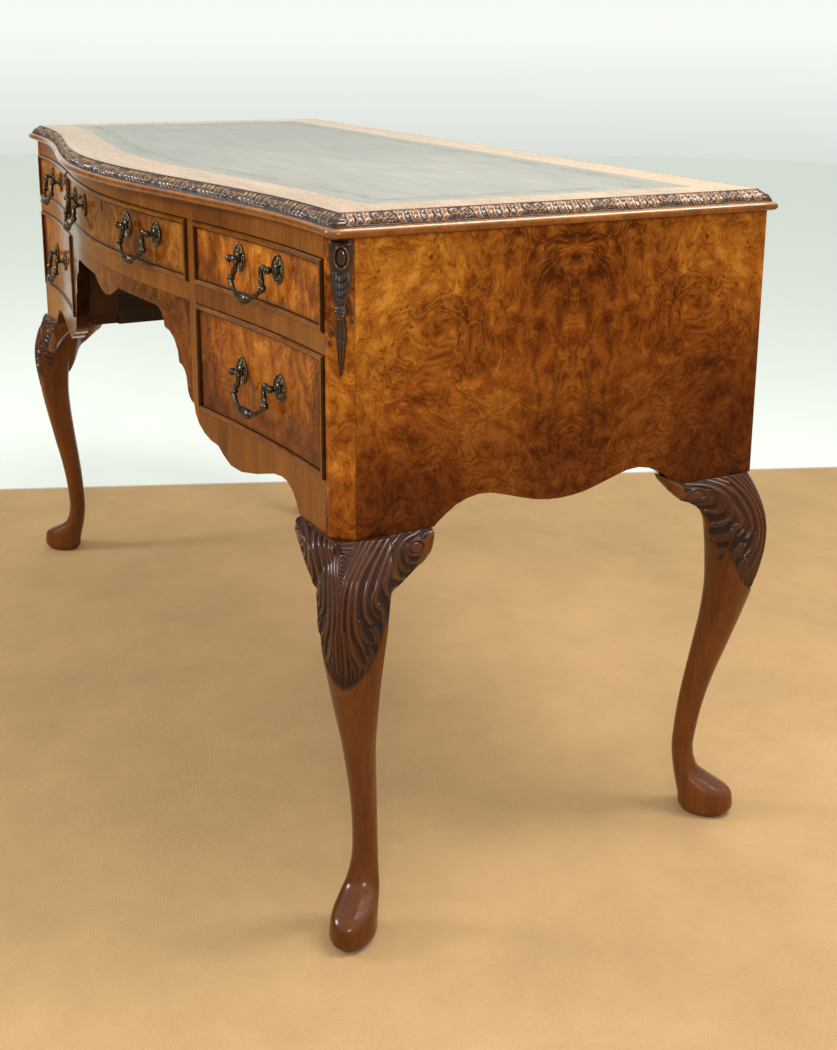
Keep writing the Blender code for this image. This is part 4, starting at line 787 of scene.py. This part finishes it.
def leg_rings(end):
    """Sections of a right-hand leg from the floor up."""
    foot, outward, across = leg_frame(end)
    height = np.linspace(0, 1, 200)
    centre, depth, width, square = smooth_rows(leg_shares, height).T
    draw, trim, aside = leg_moves(height, end)
    turn = np.linspace(0, 2 * np.pi, 96, endpoint=False)
    power = (2 / square)[:, None]
    u = np.sign(np.cos(turn)) * np.abs(np.cos(turn)) ** power * (depth * KNEE_HALF - trim)[:, None]
    w = np.sign(np.sin(turn)) * np.abs(np.sin(turn)) ** power * (width * KNEE_HALF)[:, None]
    out = (centre * KNEE_HALF - draw)[:, None] + u
    side = aside[:, None] + w
    rings = np.empty((len(height), len(turn), 3))
    rings[..., :2] = foot + out[..., None] * outward + side[..., None] * across
    rings[..., 2] = (height * (LEG_HEIGHT - GAP))[:, None]
    return rings


def ear_rings(end, direction):
    """Knee block beside a right-hand leg, from inside the leg to its tip."""
    reach = FRONT_EAR_REACH if direction == "front" else SIDE_EAR_REACH
    long_tip = EAR_LONG_TIP if direction == "side" and end > 0 else 0
    top = LEG_HEIGHT - GAP
    edge = CARCASE_FRONT if end < 0 else CARCASE_BACK
    table = EAR_TABLES[end, direction]
    along = np.linspace(table[0][0], 1, 44 if end > 0 else 66)
    drop, proud = smooth_rows(table, along).T
    section = smooth_line(ear_section_shares, 26)
    rings = []
    for place, fall, stand in zip(along, drop, proud):
        place = place * (1 + long_tip * rise(place, 0.6, 0.4))
        out = np.concatenate([[-EAR_INSET], section[:, 0] * EAR_PROUD * stand, [-EAR_INSET]])
        lift = ARCH_RISE * max(reach * place - ARCH_START, 0) if long_tip else 0
        z = top + lift - EAR_DROP * fall * np.concatenate([[0], section[:, 1], [EAR_BACK]])
        if direction == "front":
            x, y = np.full_like(out, CARCASE_HALF - place * reach), edge + end * out
        else:
            x, y = CARCASE_HALF + out, np.full_like(out, edge - end * place * reach)
        rings.append(np.column_stack([x, y, z]))
    return np.array(rings)


# Ribs of the carved knee, on the right half: height, then points of distance from the leg's middle line,
# height above the floor and half width, in millimetres
KNEE_RIBS = [
    (0.95, [(12.5, 456, 1.5), (7.7, 439, 1.6), (3.8, 424, 1.5), (1.2, 410, 1.2), (0, 400, 0.8)]),
    (1.0, [(17.6, 456, 1.9), (11.4, 437, 2.1), (6.8, 422, 2.0), (3.6, 405, 1.7), (3.0, 388, 1.6),
        (4.2, 367, 1.5), (5.6, 344, 1.3), (6, 322, 0.7)]),
    (1.0, [(22.8, 456, 2.1), (17, 439, 2.4), (12.6, 424, 2.4), (9.6, 405, 2.3), (8.7, 388, 2.2),
        (10.6, 367, 2.1), (14.2, 345, 1.9), (19.5, 331, 1.1)]),
    (1.0, [(29.7, 456, 2.2), (23.6, 441, 2.5), (19, 429, 2.5), (16, 412, 2.4), (14.8, 394, 2.3),
        (16.2, 376, 2.1), (20.8, 358, 1.4), (23, 352, 0.8)]),
    (1.0, [(37.5, 456, 2.4), (33, 446, 2.6), (28.8, 434, 2.7), (25.4, 418, 2.6), (23, 401, 2.3),
        (24.5, 388, 1.9), (28.5, 380, 1.2)]),
    (1.0, [(45, 456, 2.4), (40.4, 444, 2.7), (37.6, 433, 2.6), (34.6, 418, 2.5), (32.4, 404, 2.1),
        (35, 395, 1.4), (38, 392, 0.8)]),
    (0.95, [(65, 455, 2.0), (54, 450, 2.6), (46.6, 438, 2.7), (43, 424, 2.4), (41.8, 412, 1.7),
        (43, 405, 0.8)]),
    (0.7, [(1.2, 396, 0.7), (0.9, 380, 1.0), (1.0, 350, 1.1), (1.2, 320, 0.6)]),
    (0.8, [(6.2, 372, 0.8), (8.3, 356, 1.4), (10.2, 338, 1.4), (9.6, 318, 0.7)]),
    (0.85, [(13.4, 362, 0.9), (16.2, 348, 1.7), (18.0, 332, 1.6), (15.5, 316, 0.8)]),
    (0.9, [(19.0, 384, 0.9), (20.6, 372, 1.6), (24.4, 362, 1.6), (28.5, 357, 0.9)]),
    (0.85, [(21.5, 352, 1.0), (24.5, 343, 1.7), (24.4, 332, 1.3), (21.5, 325, 0.7)]),
    (0.8, [(29, 373, 1.1), (32, 366, 1.7), (32.5, 358, 1.0)]),
    (0.9, [(56, 444, 1.6), (54, 434, 2.0), (55, 426, 2.1), (60, 422, 1.5), (65, 424, 0.8)]),
    (0.85, [(50, 446, 1.4), (48, 436, 2.0), (47.5, 425, 2.0), (50, 416, 1.4), (53, 413, 0.8)]),
    (0.85, [(31, 412, 1.0), (29, 400, 1.5), (31, 390, 1.5), (35.5, 384, 0.8)]),
    (0.85, [(12.5, 392, 0.8), (14.5, 378, 1.3), (17.5, 366, 1.3), (21, 361, 0.8)]),
    (0.8, [(10.0, 345, 0.8), (13.5, 332, 1.3), (13.0, 318, 0.9)]),
    (0.8, [(27.5, 345, 0.8), (28.5, 337, 1.3), (26.5, 330, 0.8)]),
    (0.85, [(36.5, 398, 1.1), (39.5, 384, 1.8), (41, 371, 1.6), (38.5, 361, 0.8)]),
    (0.85, [(44, 406, 1.2), (47, 396, 1.8), (48, 387, 1.4), (46, 380, 0.7)]),
    (0.85, [(32.5, 374, 1.0), (35.5, 361, 1.7), (35.5, 350, 1.5), (32.5, 342, 0.8)]),
    (0.85, [(26.5, 354, 0.9), (29.5, 343, 1.6), (29.5, 334, 1.3), (26.5, 327, 0.7)]),
    (0.85, [(19.5, 340, 0.9), (22.5, 328, 1.5), (20.5, 320, 0.8)]),
    (0.8, [(3.4, 372, 0.6), (4.2, 350, 1.0), (4.0, 325, 0.9), (3.4, 310, 0.5)]),
    (0.85, [(69, 446, 1.2), (72, 450, 1.7), (76, 453, 1.5)]),
]
# Rows of small notched beads between the ribs: how many, then the ends of the row and its half width
KNEE_BEADS = [(8, (26.3, 454), (18.2, 427), 1.25), (8, (41.3, 454), (33.4, 426), 1.3)]
# Lower edge of the carving: distance from the middle line and height
KNEE_OUTLINE = [
    (0, 303), (9, 307), (16.5, 313), (24, 322), (31, 336), (37.5, 353), (43, 374), (48, 396), (60, 416),
    (72, 436), (80, 460),
]
VOLUTE = (65.0, 439.5)
KNEE_DEPTH = 2.2 * MM
RIB_FULLNESS = 1.28
# The leg's skin: size of its cells, and the share of its faces that is kept
SKIN_CELL = 0.78 * MM
SKIN_KEPT = 0.42
# Across a knee, in millimetres: the part that is carved at its own size, and what the rest is spread over
KNEE_PLAIN, KNEE_SPREAD = 30, 42
KNEE_RIGHT_TIP, KNEE_LEFT_TIP = 76, 68


def strokes_over(across, level, rows):
    """Height share of one rounded rib at each place, 0 outside it."""
    line = smooth_line(rows, 34)
    found = np.zeros_like(across)
    for (x1, z1, w1), (x2, z2, w2) in zip(line[:-1], line[1:]):
        dx, dz = x2 - x1, z2 - z1
        t = (((across - x1) * dx + (level - z1) * dz) / (dx * dx + dz * dz)).clip(0, 1)
        distance = np.hypot(across - x1 - t * dx, level - z1 - t * dz)
        width = np.maximum(RIB_FULLNESS * (w1 + (w2 - w1) * t), 0.3)
        found = np.maximum(found, np.clip(1 - (distance / width) ** 2, 0, 1))
    return found**0.6


def knee_relief(across, level):
    """Carving of a knee, 0 on its ground and 1 on its ribs, and where it is carved at all."""
    a = np.abs(across)
    carved = rise(level, np.interp(a, *zip(*KNEE_OUTLINE)), 5.0)
    relief = np.zeros_like(a)
    for height, rows in KNEE_RIBS:
        relief = np.maximum(relief, height * strokes_over(a, level, rows))
    for count, start, end, width in KNEE_BEADS:
        t = (level - start[1]) / (end[1] - start[1])
        off = a - (start[0] + (end[0] - start[0]) * t)
        bead = np.abs(np.sin(np.pi * count * t)) ** 0.6 * np.clip(1 - (off / width) ** 2, 0, 1) ** 0.5
        relief = np.maximum(relief, 0.75 * bead * (t > 0) * (t < 1))
    half = np.interp(level, [402, 456], [0, 11.6])
    inside = (a < half) & (level > 404)
    flutes = 0.15 + 0.6 * np.abs(np.sin(np.pi * (level - 404) / 3.4)) ** 0.8
    relief = np.where(inside, np.maximum(relief, flutes), relief)
    radius = np.hypot(a - VOLUTE[0], level - VOLUTE[1])
    turn = np.arctan2(level - VOLUTE[1], a - VOLUTE[0]) / (2 * np.pi)
    band = np.sin(np.pi * rise(radius, 6.6, 3.6 - 1.2 * turn)) ** 0.6
    scroll = np.where(radius < 6.0, 0.55 + 0.75 * np.sqrt(np.clip(1 - (radius / 6.0) ** 2, 0, 1)), band)
    relief = np.where(radius < 10.2 - 1.2 * turn, np.maximum(scroll, 0.05), relief)
    return relief, carved


def knee_place(points, end):
    """Distance across the knee from its middle line and height, in millimetres, of points of a leg."""
    across = leg_frame(end)[2]
    corner = np.array([CARCASE_HALF, CARCASE_FRONT if end < 0 else CARCASE_BACK])
    level = points[:, 2] / MM
    middle = np.interp(level, [390, 454], [13.5, 8.5]) if end < 0 else 0.0
    off = (points[:, :2] - corner) @ across / MM - middle
    tip = np.where(off > 0, KNEE_RIGHT_TIP - np.mean(middle), KNEE_LEFT_TIP + np.mean(middle))
    beyond = np.abs(off) - KNEE_PLAIN
    spread = KNEE_PLAIN + beyond * KNEE_SPREAD / (tip - KNEE_PLAIN)
    off = np.where(beyond > 0, np.sign(off) * spread, off)
    return off, level


def vertex_normals(mesh):
    normals = np.empty(len(mesh.vertices) * 3)
    mesh.vertex_normals.foreach_get("vector", normals)
    return normals.reshape(-1, 3)


def knee_carving(mesh, end, falloff):
    """Relief of the knee at each point of a leg, and how far the leg is carved there."""
    relief, carved = knee_relief(*knee_place(mesh_points(mesh), end))
    return relief, carved * rise(vertex_normals(mesh)[:, :2] @ leg_frame(end)[1], -0.35, falloff)


def carve_knee(mesh, end):
    """Carving pressed into the outward faces of a leg's knee and knee blocks."""
    points = mesh_points(mesh)
    relief, share = knee_carving(mesh, end, 0.3)
    share *= rise(-points[:, 2], GAP - LEG_HEIGHT, 0.6 * MM)
    points += vertex_normals(mesh) * (share * KNEE_DEPTH * (relief - 0.93))[:, None]
    mesh.vertices.foreach_set("co", points.ravel())
    mesh.update()


def mark_knee(mesh, end):
    """Where the carving of a knee is darkened by dark polish and painted shade, and where its crests show
    wear.
    """
    relief, share = knee_carving(mesh, end, 0.2)
    set_values(mesh, "recess", share * rise(-relief, -0.72, 0.55))
    set_values(mesh, "crest", 0.75 * share * rise(relief, 0.82, 0.18))
    set_values(mesh, "carved", share)


def make_leg(end, name):
    """A carved leg with its two knee blocks, and the same on the other side."""
    parts = [tube_data(leg_rings(end)), tube_data(ear_rings(end, "front")), tube_data(ear_rings(end, "side"))]
    mesh = mesh_from(joined(*parts), name)
    mesh = modified(mesh, "REMESH", mode="VOXEL", voxel_size=SKIN_CELL)
    mesh = modified(mesh, "SMOOTH", factor=0.5, iterations=5)
    carve_knee(mesh, end)
    mesh = modified(mesh, "DECIMATE", ratio=SKIN_KEPT)
    mark_knee(mesh, end)
    for side, shape in (("right", mesh), ("left", mirrored(mesh))):
        add_piece(f"cabriole_{name}_{side}", shape, LEG, "carcase", [f"leg_{name}_{side}"])


# Handles

HANDLES = ["centre_left", "centre_right", "upper_right", "lower_right", "upper_left", "lower_left"]
BAIL_HALF = POST_SPACING / 2
BAIL_DROP = 0.0366
BAIL_BOW = 0.008
BAIL_FULLNESS = 1.22
PLATE_HALF_WIDTH = 0.0140
PLATE_HALF_HEIGHT = 0.0160
# Turned shapes: radius, then distance along their own line, in millimetres; the post's from the bail's axis
post_profile = [
    (0, -4.4), (1.7, -4.05), (3.0, -3.25), (3.9, -2.0), (4.3, -0.6), (4.3, 0.6), (3.9, 1.9), (3.2, 3.0),
    (2.7, 3.7), (2.7, 4.3), (3.7, 4.7), (3.9, 5.2), (3.5, 5.7), (2.8, 6.1), (3.1, 7.0), (4.4, 8.0),
    (5.9, 8.5), (6.4, 9.2), (6.1, 9.9), (4.5, 10.4),
]
nut_profile = [(2.8, 0), (5.1, 0), (5.5, 0.4), (5.5, 2.6), (5.0, 3.0), (2.5, 3.0)]
# Bail: share of the half spacing of the posts, share of the drop, thickness share
bail_shares = [
    (0.965, 0.0, 0.66), (0.885, 0.0, 0.68), (0.84, -0.02, 1.0), (0.76, -0.05, 1.15), (0.69, 0.01, 1.15),
    (0.66, 0.12, 1.0), (0.685, 0.26, 1.1), (0.735, 0.38, 1.2), (0.775, 0.46, 1.0), (0.80, 0.51, 1.5),
    (0.812, 0.58, 1.7), (0.79, 0.625, 1.0), (0.75, 0.66, 0.95), (0.61, 0.79, 0.85), (0.44, 0.90, 0.95),
    (0.31, 0.95, 1.15), (0.25, 0.965, 1.7), (0.13, 0.985, 2.2), (0.0, 1.0, 2.4),
]


def moved(data, matrix):
    """A set of points and faces in another place."""
    matrix = np.array(matrix)
    return np.asarray(data[0]) @ matrix[:3, :3].T + matrix[:3, 3], data[1]


def turned_data(profile, count, matrix):
    """A shape turned about its own Y line, from radius and place pairs in millimetres."""
    turns = np.linspace(0, 2 * np.pi, count, endpoint=False)
    wheel = np.column_stack([np.cos(turns), np.zeros(count), np.sin(turns)])
    rings = [wheel * max(radius, 0.02) * MM + (0, y * MM, 0) for radius, y in profile]
    return moved(tube_data(rings), matrix)


def rosette_data(centre):
    """Pierced oval plate: petals round a boss inside a beaded rim, closed behind."""
    turns = np.linspace(0, 2 * np.pi, 160, endpoint=False)
    t, r = np.meshgrid(turns, np.linspace(0, 1, 34)[1:])
    outline = (1 - 0.10 * np.abs(np.sin(2 * t)) ** 1.3) * (1 + 0.022 * np.cos(28 * t))
    x = PLATE_HALF_WIDTH * np.cos(t) * outline * r
    z = PLATE_HALF_HEIGHT * np.sin(t) * outline * r
    petal = np.abs(np.cos(4 * t)) ** 0.7
    vein = 1 - 0.5 * bell(np.sin(4 * t + np.pi / 2), 0, 0.16) * (petal > 0.6)
    relief = 0.75 + 1.05 * petal * vein * np.sin(np.pi * rise(r, 0.34, 0.48)) ** 0.7
    pierced = bell(r, 0.64, 0.10) * bell(np.cos(4 * t), 0, 0.34)
    relief = relief * (1 - pierced) - 0.25 * pierced
    rim = 1.15 + 0.55 * np.abs(np.cos(14 * t))
    relief = np.where(r > 0.86, rim * np.sin(np.pi * rise(r, 0.86, 0.28)) ** 0.5, relief)
    relief = np.where((r > 0.81) & (r < 0.86), 0.35, relief)
    boss = 1.1 + np.sqrt(np.clip(1 - (r / 0.42) ** 2, 0, 1))
    relief = np.where(r < 0.36, boss, relief)
    front = np.stack([centre + x, POST_REACH - np.maximum(relief, 0.15) * MM, z], -1)
    back = np.stack([centre + x[-1], np.full(len(turns), POST_REACH), z[-1]], -1)[None]
    top = np.array([[[centre, POST_REACH - 2.1 * MM, 0]]]).repeat(len(turns), 1)
    ends = np.zeros(len(turns))
    return tube_data(np.concatenate([top, front, back])), np.concatenate([ends, relief.ravel(), ends])


def bail_data():
    """Swan-neck bail: a round bar swept along its line, with a fluted and flattened middle."""
    thickness = BAIL_FULLNESS * BAIL_RADIUS
    rows = [(-BAIL_HALF * a, -BAIL_BOW * d * d, -BAIL_DROP * d, thickness * w) for a, d, w in bail_shares]
    rows += [(-x, y, z, w) for x, y, z, w in reversed(rows[:-1])]
    line = smooth_line(rows, 240)
    places, radii = line[:, :3], line[:, 3]
    tangent = np.gradient(places, axis=0)
    tangent /= np.linalg.norm(tangent, axis=1)[:, None]
    side = np.cross(tangent, (0, 1, 0))
    side /= np.linalg.norm(side, axis=1)[:, None]
    up = np.cross(side, tangent)
    turns = np.linspace(0, 2 * np.pi, 32, endpoint=False)
    swell = bell(places[:, 0:1], 0, 0.24 * BAIL_HALF)
    radius = np.maximum(radii, 0.3 * BAIL_RADIUS)[:, None] * (1 + 0.10 * swell * np.cos(9 * turns))
    across, over = radius * np.cos(turns), radius * (1 - 0.22 * swell) * np.sin(turns)
    return tube_data(places[:, None] + side[:, None] * across[..., None] + up[:, None] * over[..., None])


def make_mount(handle, side, joint, matrix, inwards):
    """Rosette, post, shank and nut of one end of a handle."""
    centre = BAIL_HALF if side == "right" else -BAIL_HALF
    place = matrix @ Vector((centre, 0, 0))
    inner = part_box(joint["parent"] + "_front")[1].y
    depth = (inner - place.y) / inwards.y / MM
    local = matrix @ Matrix.Translation((centre, 0, 0))
    shank_profile = [(0, 9.8), (2.4, 9.9), (2.4, depth + 4.8), (1.9, depth + 5.4), (0, depth + 5.4)]
    post, shank = turned_data(post_profile, 40, local), turned_data(shank_profile, 20, local)
    nut = turned_data(nut_profile, 6, Matrix.Translation((place.x, inner + GAP, place.z)))
    plate, marks = rosette_data(centre)
    mesh = mesh_from(joined(moved(plate, matrix), post, shank, nut), handle + side)
    relief = np.concatenate([marks, np.full(len(mesh.vertices) - len(marks), 1.0)])
    set_values(mesh, "recess", rise(-relief, -0.75, 0.5))
    set_values(mesh, "crest", rise(relief, 1.25, 0.4))
    node_name = f"{handle}_handle_mount_{side}"
    add_piece(f"{handle}_rosette_{side}", mesh, BRASS, joint["parent"], [node_name])


def make_handles():
    """Six handles, each on the line of its own joint."""
    joints = {joint["name"]: joint for joint in frame["joints"]}
    for handle in HANDLES:
        joint = joints[handle + "_bail_swing"]
        along = -Vector(joint["axis"])
        inwards = Vector((-along.y, along.x, 0))
        turn = Matrix((along, inwards, (0, 0, 1))).transposed().to_4x4()
        matrix = Matrix.Translation(joint["pos_m"]) @ turn
        bail = mesh_from(moved(bail_data(), matrix), handle)
        add_piece(handle + "_swan_neck_bail", bail, BRASS, joint["child"], [handle + "_bail"])
        for side in ("left", "right"):
            make_mount(handle, side, joint, matrix, inwards)


# Corner posts with their carved drops

DROP_TOP_SPACE = 0.003
# In millimetres: length of the drop, how deep it is let in, and its half width at places down it
DROP_LENGTH = 136.0
DROP_BACK = 0.6
drop_half_widths = [
    (0, 9.5), (3, 12), (9, 12.6), (22, 12.4), (31, 11.2), (40, 11.2), (50, 9.6), (60, 7.4), (66, 6.0),
    (70, 7.2), (74, 6.6), (77, 4.2), (80, 4.8), (86, 6.0), (94, 6.2), (104, 5.2), (116, 4.0),
    (128, 2.4), (136, 0.8),
]
# Small scrolls beside the drop: place across and down, size, and the hand of the curl
scroll_places = [(10.6, 70, 4.0, 1), (11.2, 80, 2.8, -1), (-11.2, 94, 4.0, -1), (-11.4, 104, 2.8, 1)]


def drop_relief(a, w, half):
    """Height of the carved drop over the cant, in millimetres, at a across and w down."""
    u = np.clip(np.abs(a) / half, 0, 1)
    body = 4.6 * (1 - u**2.6) ** 0.5 * np.clip(w / 3, 0.2, 1)
    oval = np.hypot((a - 2.2) / 5.4, (w - 16.5) / 8.4)
    gem = 3.6 + 2.6 * np.sqrt(np.clip(1 - oval**2, 0, 1))
    ring = 4.2 + 2.2 * np.sin(np.pi * rise(oval, 1.12, 0.45)) ** 0.6
    wing = body * (0.55 + 0.45 * bell(a - 0.05 * w, -10.4, 1.3))
    top = np.where(oval < 1.0, gem, np.where(oval < 1.12, 2.2, np.where(oval < 1.57, ring, wing)))
    arc = (w - 33 + 0.085 * a * a) / 7.6
    scale = arc - np.floor(arc)
    leaf = body * (0.62 + 0.42 * scale**0.8) - 0.9 * bell(scale, 0.04, 0.07)
    leaf -= 0.45 * bell(np.sin(np.pi * a / 3.1), 0, 0.30) * (scale > 0.25)
    rings = body * (0.75 + 0.25 * np.abs(np.sin(np.pi * (w - 66) / 3.7)))
    husk = body * (0.72 + 0.30 * np.abs(np.cos(np.pi * a / half * 1.5)))
    husk -= 0.8 * bell(w - 0.22 * a * a, 98, 1.2)
    relief = np.where(w < 32, top, np.where(w < 66, leaf, np.where(w < 77.4, rings, husk)))
    return np.maximum(relief, 0.05) * (1 - u**12)


def softened(values, rounds):
    """Heights evened out with their neighbours."""
    for _ in range(rounds):
        padded = np.pad(values, 1, mode="edge")
        values = (padded[:-2, 1:-1] + padded[2:, 1:-1] + padded[1:-1, :-2] + padded[1:-1, 2:] + values) / 5
    return values


def scroll_data(middle_a, middle_w, size, hand, place):
    """Small S scroll beside the drop."""
    t = np.linspace(0, 1, 70)
    angle = 2 * np.pi * 1.15 * t
    radius = size * (0.25 + 0.75 * t)
    aside = middle_a + 0.75 * hand * radius * np.sin(angle)
    line = np.column_stack([aside, middle_w - radius * np.cos(angle)])
    way = line[np.minimum(np.arange(70) + 1, 69)] - line[np.maximum(np.arange(70) - 1, 0)]
    way /= np.linalg.norm(way, axis=1)[:, None]
    across = np.column_stack([-way[:, 1], way[:, 0]])
    turns = np.linspace(0, 2 * np.pi, 12, endpoint=False)
    thick = (0.9 * (0.6 + 0.5 * np.sin(np.pi * t)))[:, None]
    off = line[:, None] + across[:, None] * (thick * np.cos(turns))[..., None]
    return tube_data(place(off[..., 0], off[..., 1], 0.9 + thick * np.sin(turns)))


def make_posts():
    """Canted corner posts, each with its carved drop and scrolls."""
    low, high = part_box("corner_post_right")
    inner, outer, behind = low.x, CARCASE_HALF, CARCASE_FRONT + CANT
    plan = np.array([(inner, CARCASE_FRONT), (outer - CANT, CARCASE_FRONT), (outer, behind), (inner, behind)])
    slices = [np.column_stack([plan, np.full(4, z)]) for z in (LEG_HEIGHT, high.z)]
    post = mesh_from(tube_data(slices), "post")
    post = modified(post, "BEVEL", width=0.35 * MM, segments=2, limit_method="NONE")
    middle = np.array([CARCASE_HALF - CANT / 2, CARCASE_FRONT + CANT / 2])
    outward, across = np.array([1, -1]) / math.sqrt(2), np.array([1, 1]) / math.sqrt(2)

    def place(a, w, h):
        """Points a across the cant, w down it and h out of it, in millimetres."""
        a, w, h = np.broadcast_arrays(a, w, h)
        flat = middle + (across * a[..., None] + outward * h[..., None]) * MM
        return np.concatenate([flat, CARCASE_TOP - DROP_TOP_SPACE - w[..., None] * MM], -1)

    w = np.linspace(0, DROP_LENGTH, 330)[:, None]
    half = smooth_rows(drop_half_widths, w[:, 0])
    a = half * np.linspace(-1, 1, 61)
    relief = softened(drop_relief(a, w, half), 1)
    drop_rings = np.concatenate([place(a, w, relief), place(a, w, -DROP_BACK)[:, ::-6]], 1)
    marks = np.zeros(drop_rings.shape[:2])
    marks[:, :a.shape[1]] = relief - softened(relief, 9)
    scrolls = [scroll_data(*row, place) for row in scroll_places]
    post_data = (mesh_points(post), [list(face.vertices) for face in post.polygons])
    mesh = mesh_from(joined(tube_data(drop_rings), *scrolls, post_data), "corner_post")
    values = np.zeros(len(mesh.vertices))
    values[:marks.size] = marks.ravel()
    # Hollows of the drop get dark polish and painted shade; its crests get a little wear and painted
    # highlight.
    set_values(mesh, "recess", rise(-values, 0, 0.45))
    set_values(mesh, "crest", 0.28 * rise(values, 0, 0.6))
    first_post = len(mesh.vertices) - len(post.vertices)
    veneered = [face.vertices[0] >= first_post for face in mesh.polygons]
    for side, shape in (("right", mesh), ("left", mirrored(mesh))):
        name = "corner_post_" + side
        item = add_piece("carved_" + name, shape, CARVED, "carcase", [name])
        shape.materials.append(NODES[name].data.materials[0])
        set_looks(shape, veneered)
        crisp(item, 40)


# Floor, lights, camera

# Line of the photograph's wall on the floor: the way it faces, and how far it is
WALL_FACING = (-0.930, 0.368, 0)
WALL_DISTANCE = 0.930 * 1.0485 + 0.368 * (DESK_Y - 0.0397)
PALE_FROM_Y = -0.30
FLOOR_RADIUS = 9.0


def make_stage():
    """Plain floor, paler beyond the line where the photograph's wall begins."""
    count = 96
    turns = [2 * math.pi * index / count for index in range(count)]
    points = [(0, 0, 0)] + [(FLOOR_RADIUS * math.cos(t), FLOOR_RADIUS * math.sin(t), 0) for t in turns]
    faces = [(0, 1 + index, 1 + (index + 1) % count) for index in range(count)]
    mesh = bpy.data.meshes.new("floor")
    mesh.from_pydata(points, [], faces)
    floor = bpy.data.objects.new("floor", mesh)
    bpy.context.scene.collection.objects.link(floor)
    made, n, place = new_material("pale_floor", (0.62, 0.42, 0.24))
    past = n.subtract(n.dot(place, WALL_FACING), WALL_DISTANCE)
    share = n.multiply(n.greater_than(past, 0.0), n.greater_than(n.parts(place)[1], PALE_FROM_Y))
    skirting = n.less_than(n.absolute(n.subtract(past, 0.004)), 0.004)
    cloud = n.ramp(n.noise(place, 3.0, 6.0, 0.7), [(0.3, 0.84), (0.7, 1.08)])
    carpet = n.ramp(n.noise(place, 900, 2.0, 0.6), [(0.3, (0.52, 0.32, 0.15)), (0.7, (0.63, 0.40, 0.20))])
    colour = n.mix(share, n.times(carpet, cloud), (0.84, 0.87, 0.83))
    colour = n.mix(n.multiply(skirting, share), colour, (0.55, 0.52, 0.46))
    fur = n.multiply(n.noise(place, 500, 3.0, 0.7), n.subtract(1.0, share))
    n.shade(Base_Color=colour, Roughness=0.95, Specular_IOR_Level=0.1, Normal=n.bump(fur, 0.004, 0.5))
    mesh.materials.append(made)


def add_light(name, place, target, size, power, colour):
    data = bpy.data.lights.new(name, "AREA")
    data.shape = "RECTANGLE"
    data.size, data.size_y = size
    data.energy = power
    data.color = colour
    item = bpy.data.objects.new(name, data)
    bpy.context.scene.collection.objects.link(item)
    item.location = place
    item.visible_camera = False
    item.rotation_euler = (Vector(target) - Vector(place)).to_track_quat("-Z", "Y").to_euler()


def make_lights():
    add_light("ceiling", (0.95, 0.75, 2.3), (0.66, 0.1, 0.75), (0.5, 1.8), 38, (1.0, 0.98, 0.94))
    add_light("window", (-1.5, -3.0, 2.1), (0.1, -0.2, 0.5), (0.8, 0.8), 58, (0.97, 0.99, 1.0))
    add_light("lamp", (3.3, -1.5, 1.9), (0.4, 0, 0.5), (0.7, 0.7), 34, (1.0, 0.97, 0.92))


def make_room():
    """Surroundings: a pale wall, darker beside it, hazier towards the floor and paler overhead."""
    world = bpy.data.worlds.new("room")
    bpy.context.scene.world = world
    world.use_nodes = True
    n = Nodes(world.node_tree)
    direction = n.node("TexCoord").outputs["Generated"]
    wall, shade = n.dot(direction, (-0.87, 0.49, 0)), n.dot(direction, (-0.75, -0.66, 0))
    lift = n.parts(direction)[2]
    haze = n.ramp(n.multiply_add(lift, 8, 0.8), [(0.0, 0.74), (0.75, 1.0)])
    strength = n.multiply(n.ramp(wall, [(0.80, 0.42), (0.90, 1.0)]), haze)
    strength = n.multiply(strength, n.ramp(shade, [(0.76, 1.0), (0.90, 0.12)]))
    strength = n.add(strength, n.ramp(lift, [(0.20, 0.0), (0.60, 0.50)]))
    background = world.node_tree.nodes["Background"].inputs
    n.put(strength, background[1])
    n.put((0.93, 0.965, 0.91, 1), background[0])
    bpy.context.scene.view_settings.view_transform = "Standard"


# The camera of the photograph, solved from the desk's right angles; angles in degrees, lens in millimetres
CAMERA_TURNS = (61.77, 14.03, 0.57)
CAMERA_ACROSS, CAMERA_BEFORE, CAMERA_HEIGHT = 1.869, 0.549, 0.966
LENS, SENSOR_WIDTH = 47.81, 36
LENS_SHIFT = (-0.0202, -0.1438)


def make_camera():
    yaw, pitch, roll = (math.radians(turn) for turn in CAMERA_TURNS)
    level = math.cos(pitch)
    forward = Vector((-math.sin(yaw) * level, math.cos(yaw) * level, -math.sin(pitch)))
    right = Vector((math.cos(yaw), math.sin(yaw), 0))
    up = right.cross(forward)
    camera_right = math.cos(roll) * right + math.sin(roll) * up
    camera_up = -math.sin(roll) * right + math.cos(roll) * up
    turn = Matrix((camera_right, camera_up, -forward)).transposed().to_4x4()
    camera = bpy.data.objects.new("camera", bpy.data.cameras.new("camera"))
    bpy.context.scene.collection.objects.link(camera)
    place = Vector((CAMERA_ACROSS, DESK_Y - CAMERA_BEFORE, CAMERA_HEIGHT))
    camera.matrix_world = Matrix.Translation(place) @ turn
    camera.data.sensor_width = SENSOR_WIDTH
    camera.data.lens = LENS
    camera.data.shift_x, camera.data.shift_y = LENS_SHIFT
    camera.data.clip_start = 0.05
    bpy.context.scene.camera = camera


make_camera()
make_lights()
make_room()
make_stage()
dress_nodes()
make_edge()
make_leg(-1, "front")
make_leg(1, "back")
make_handles()
make_posts()
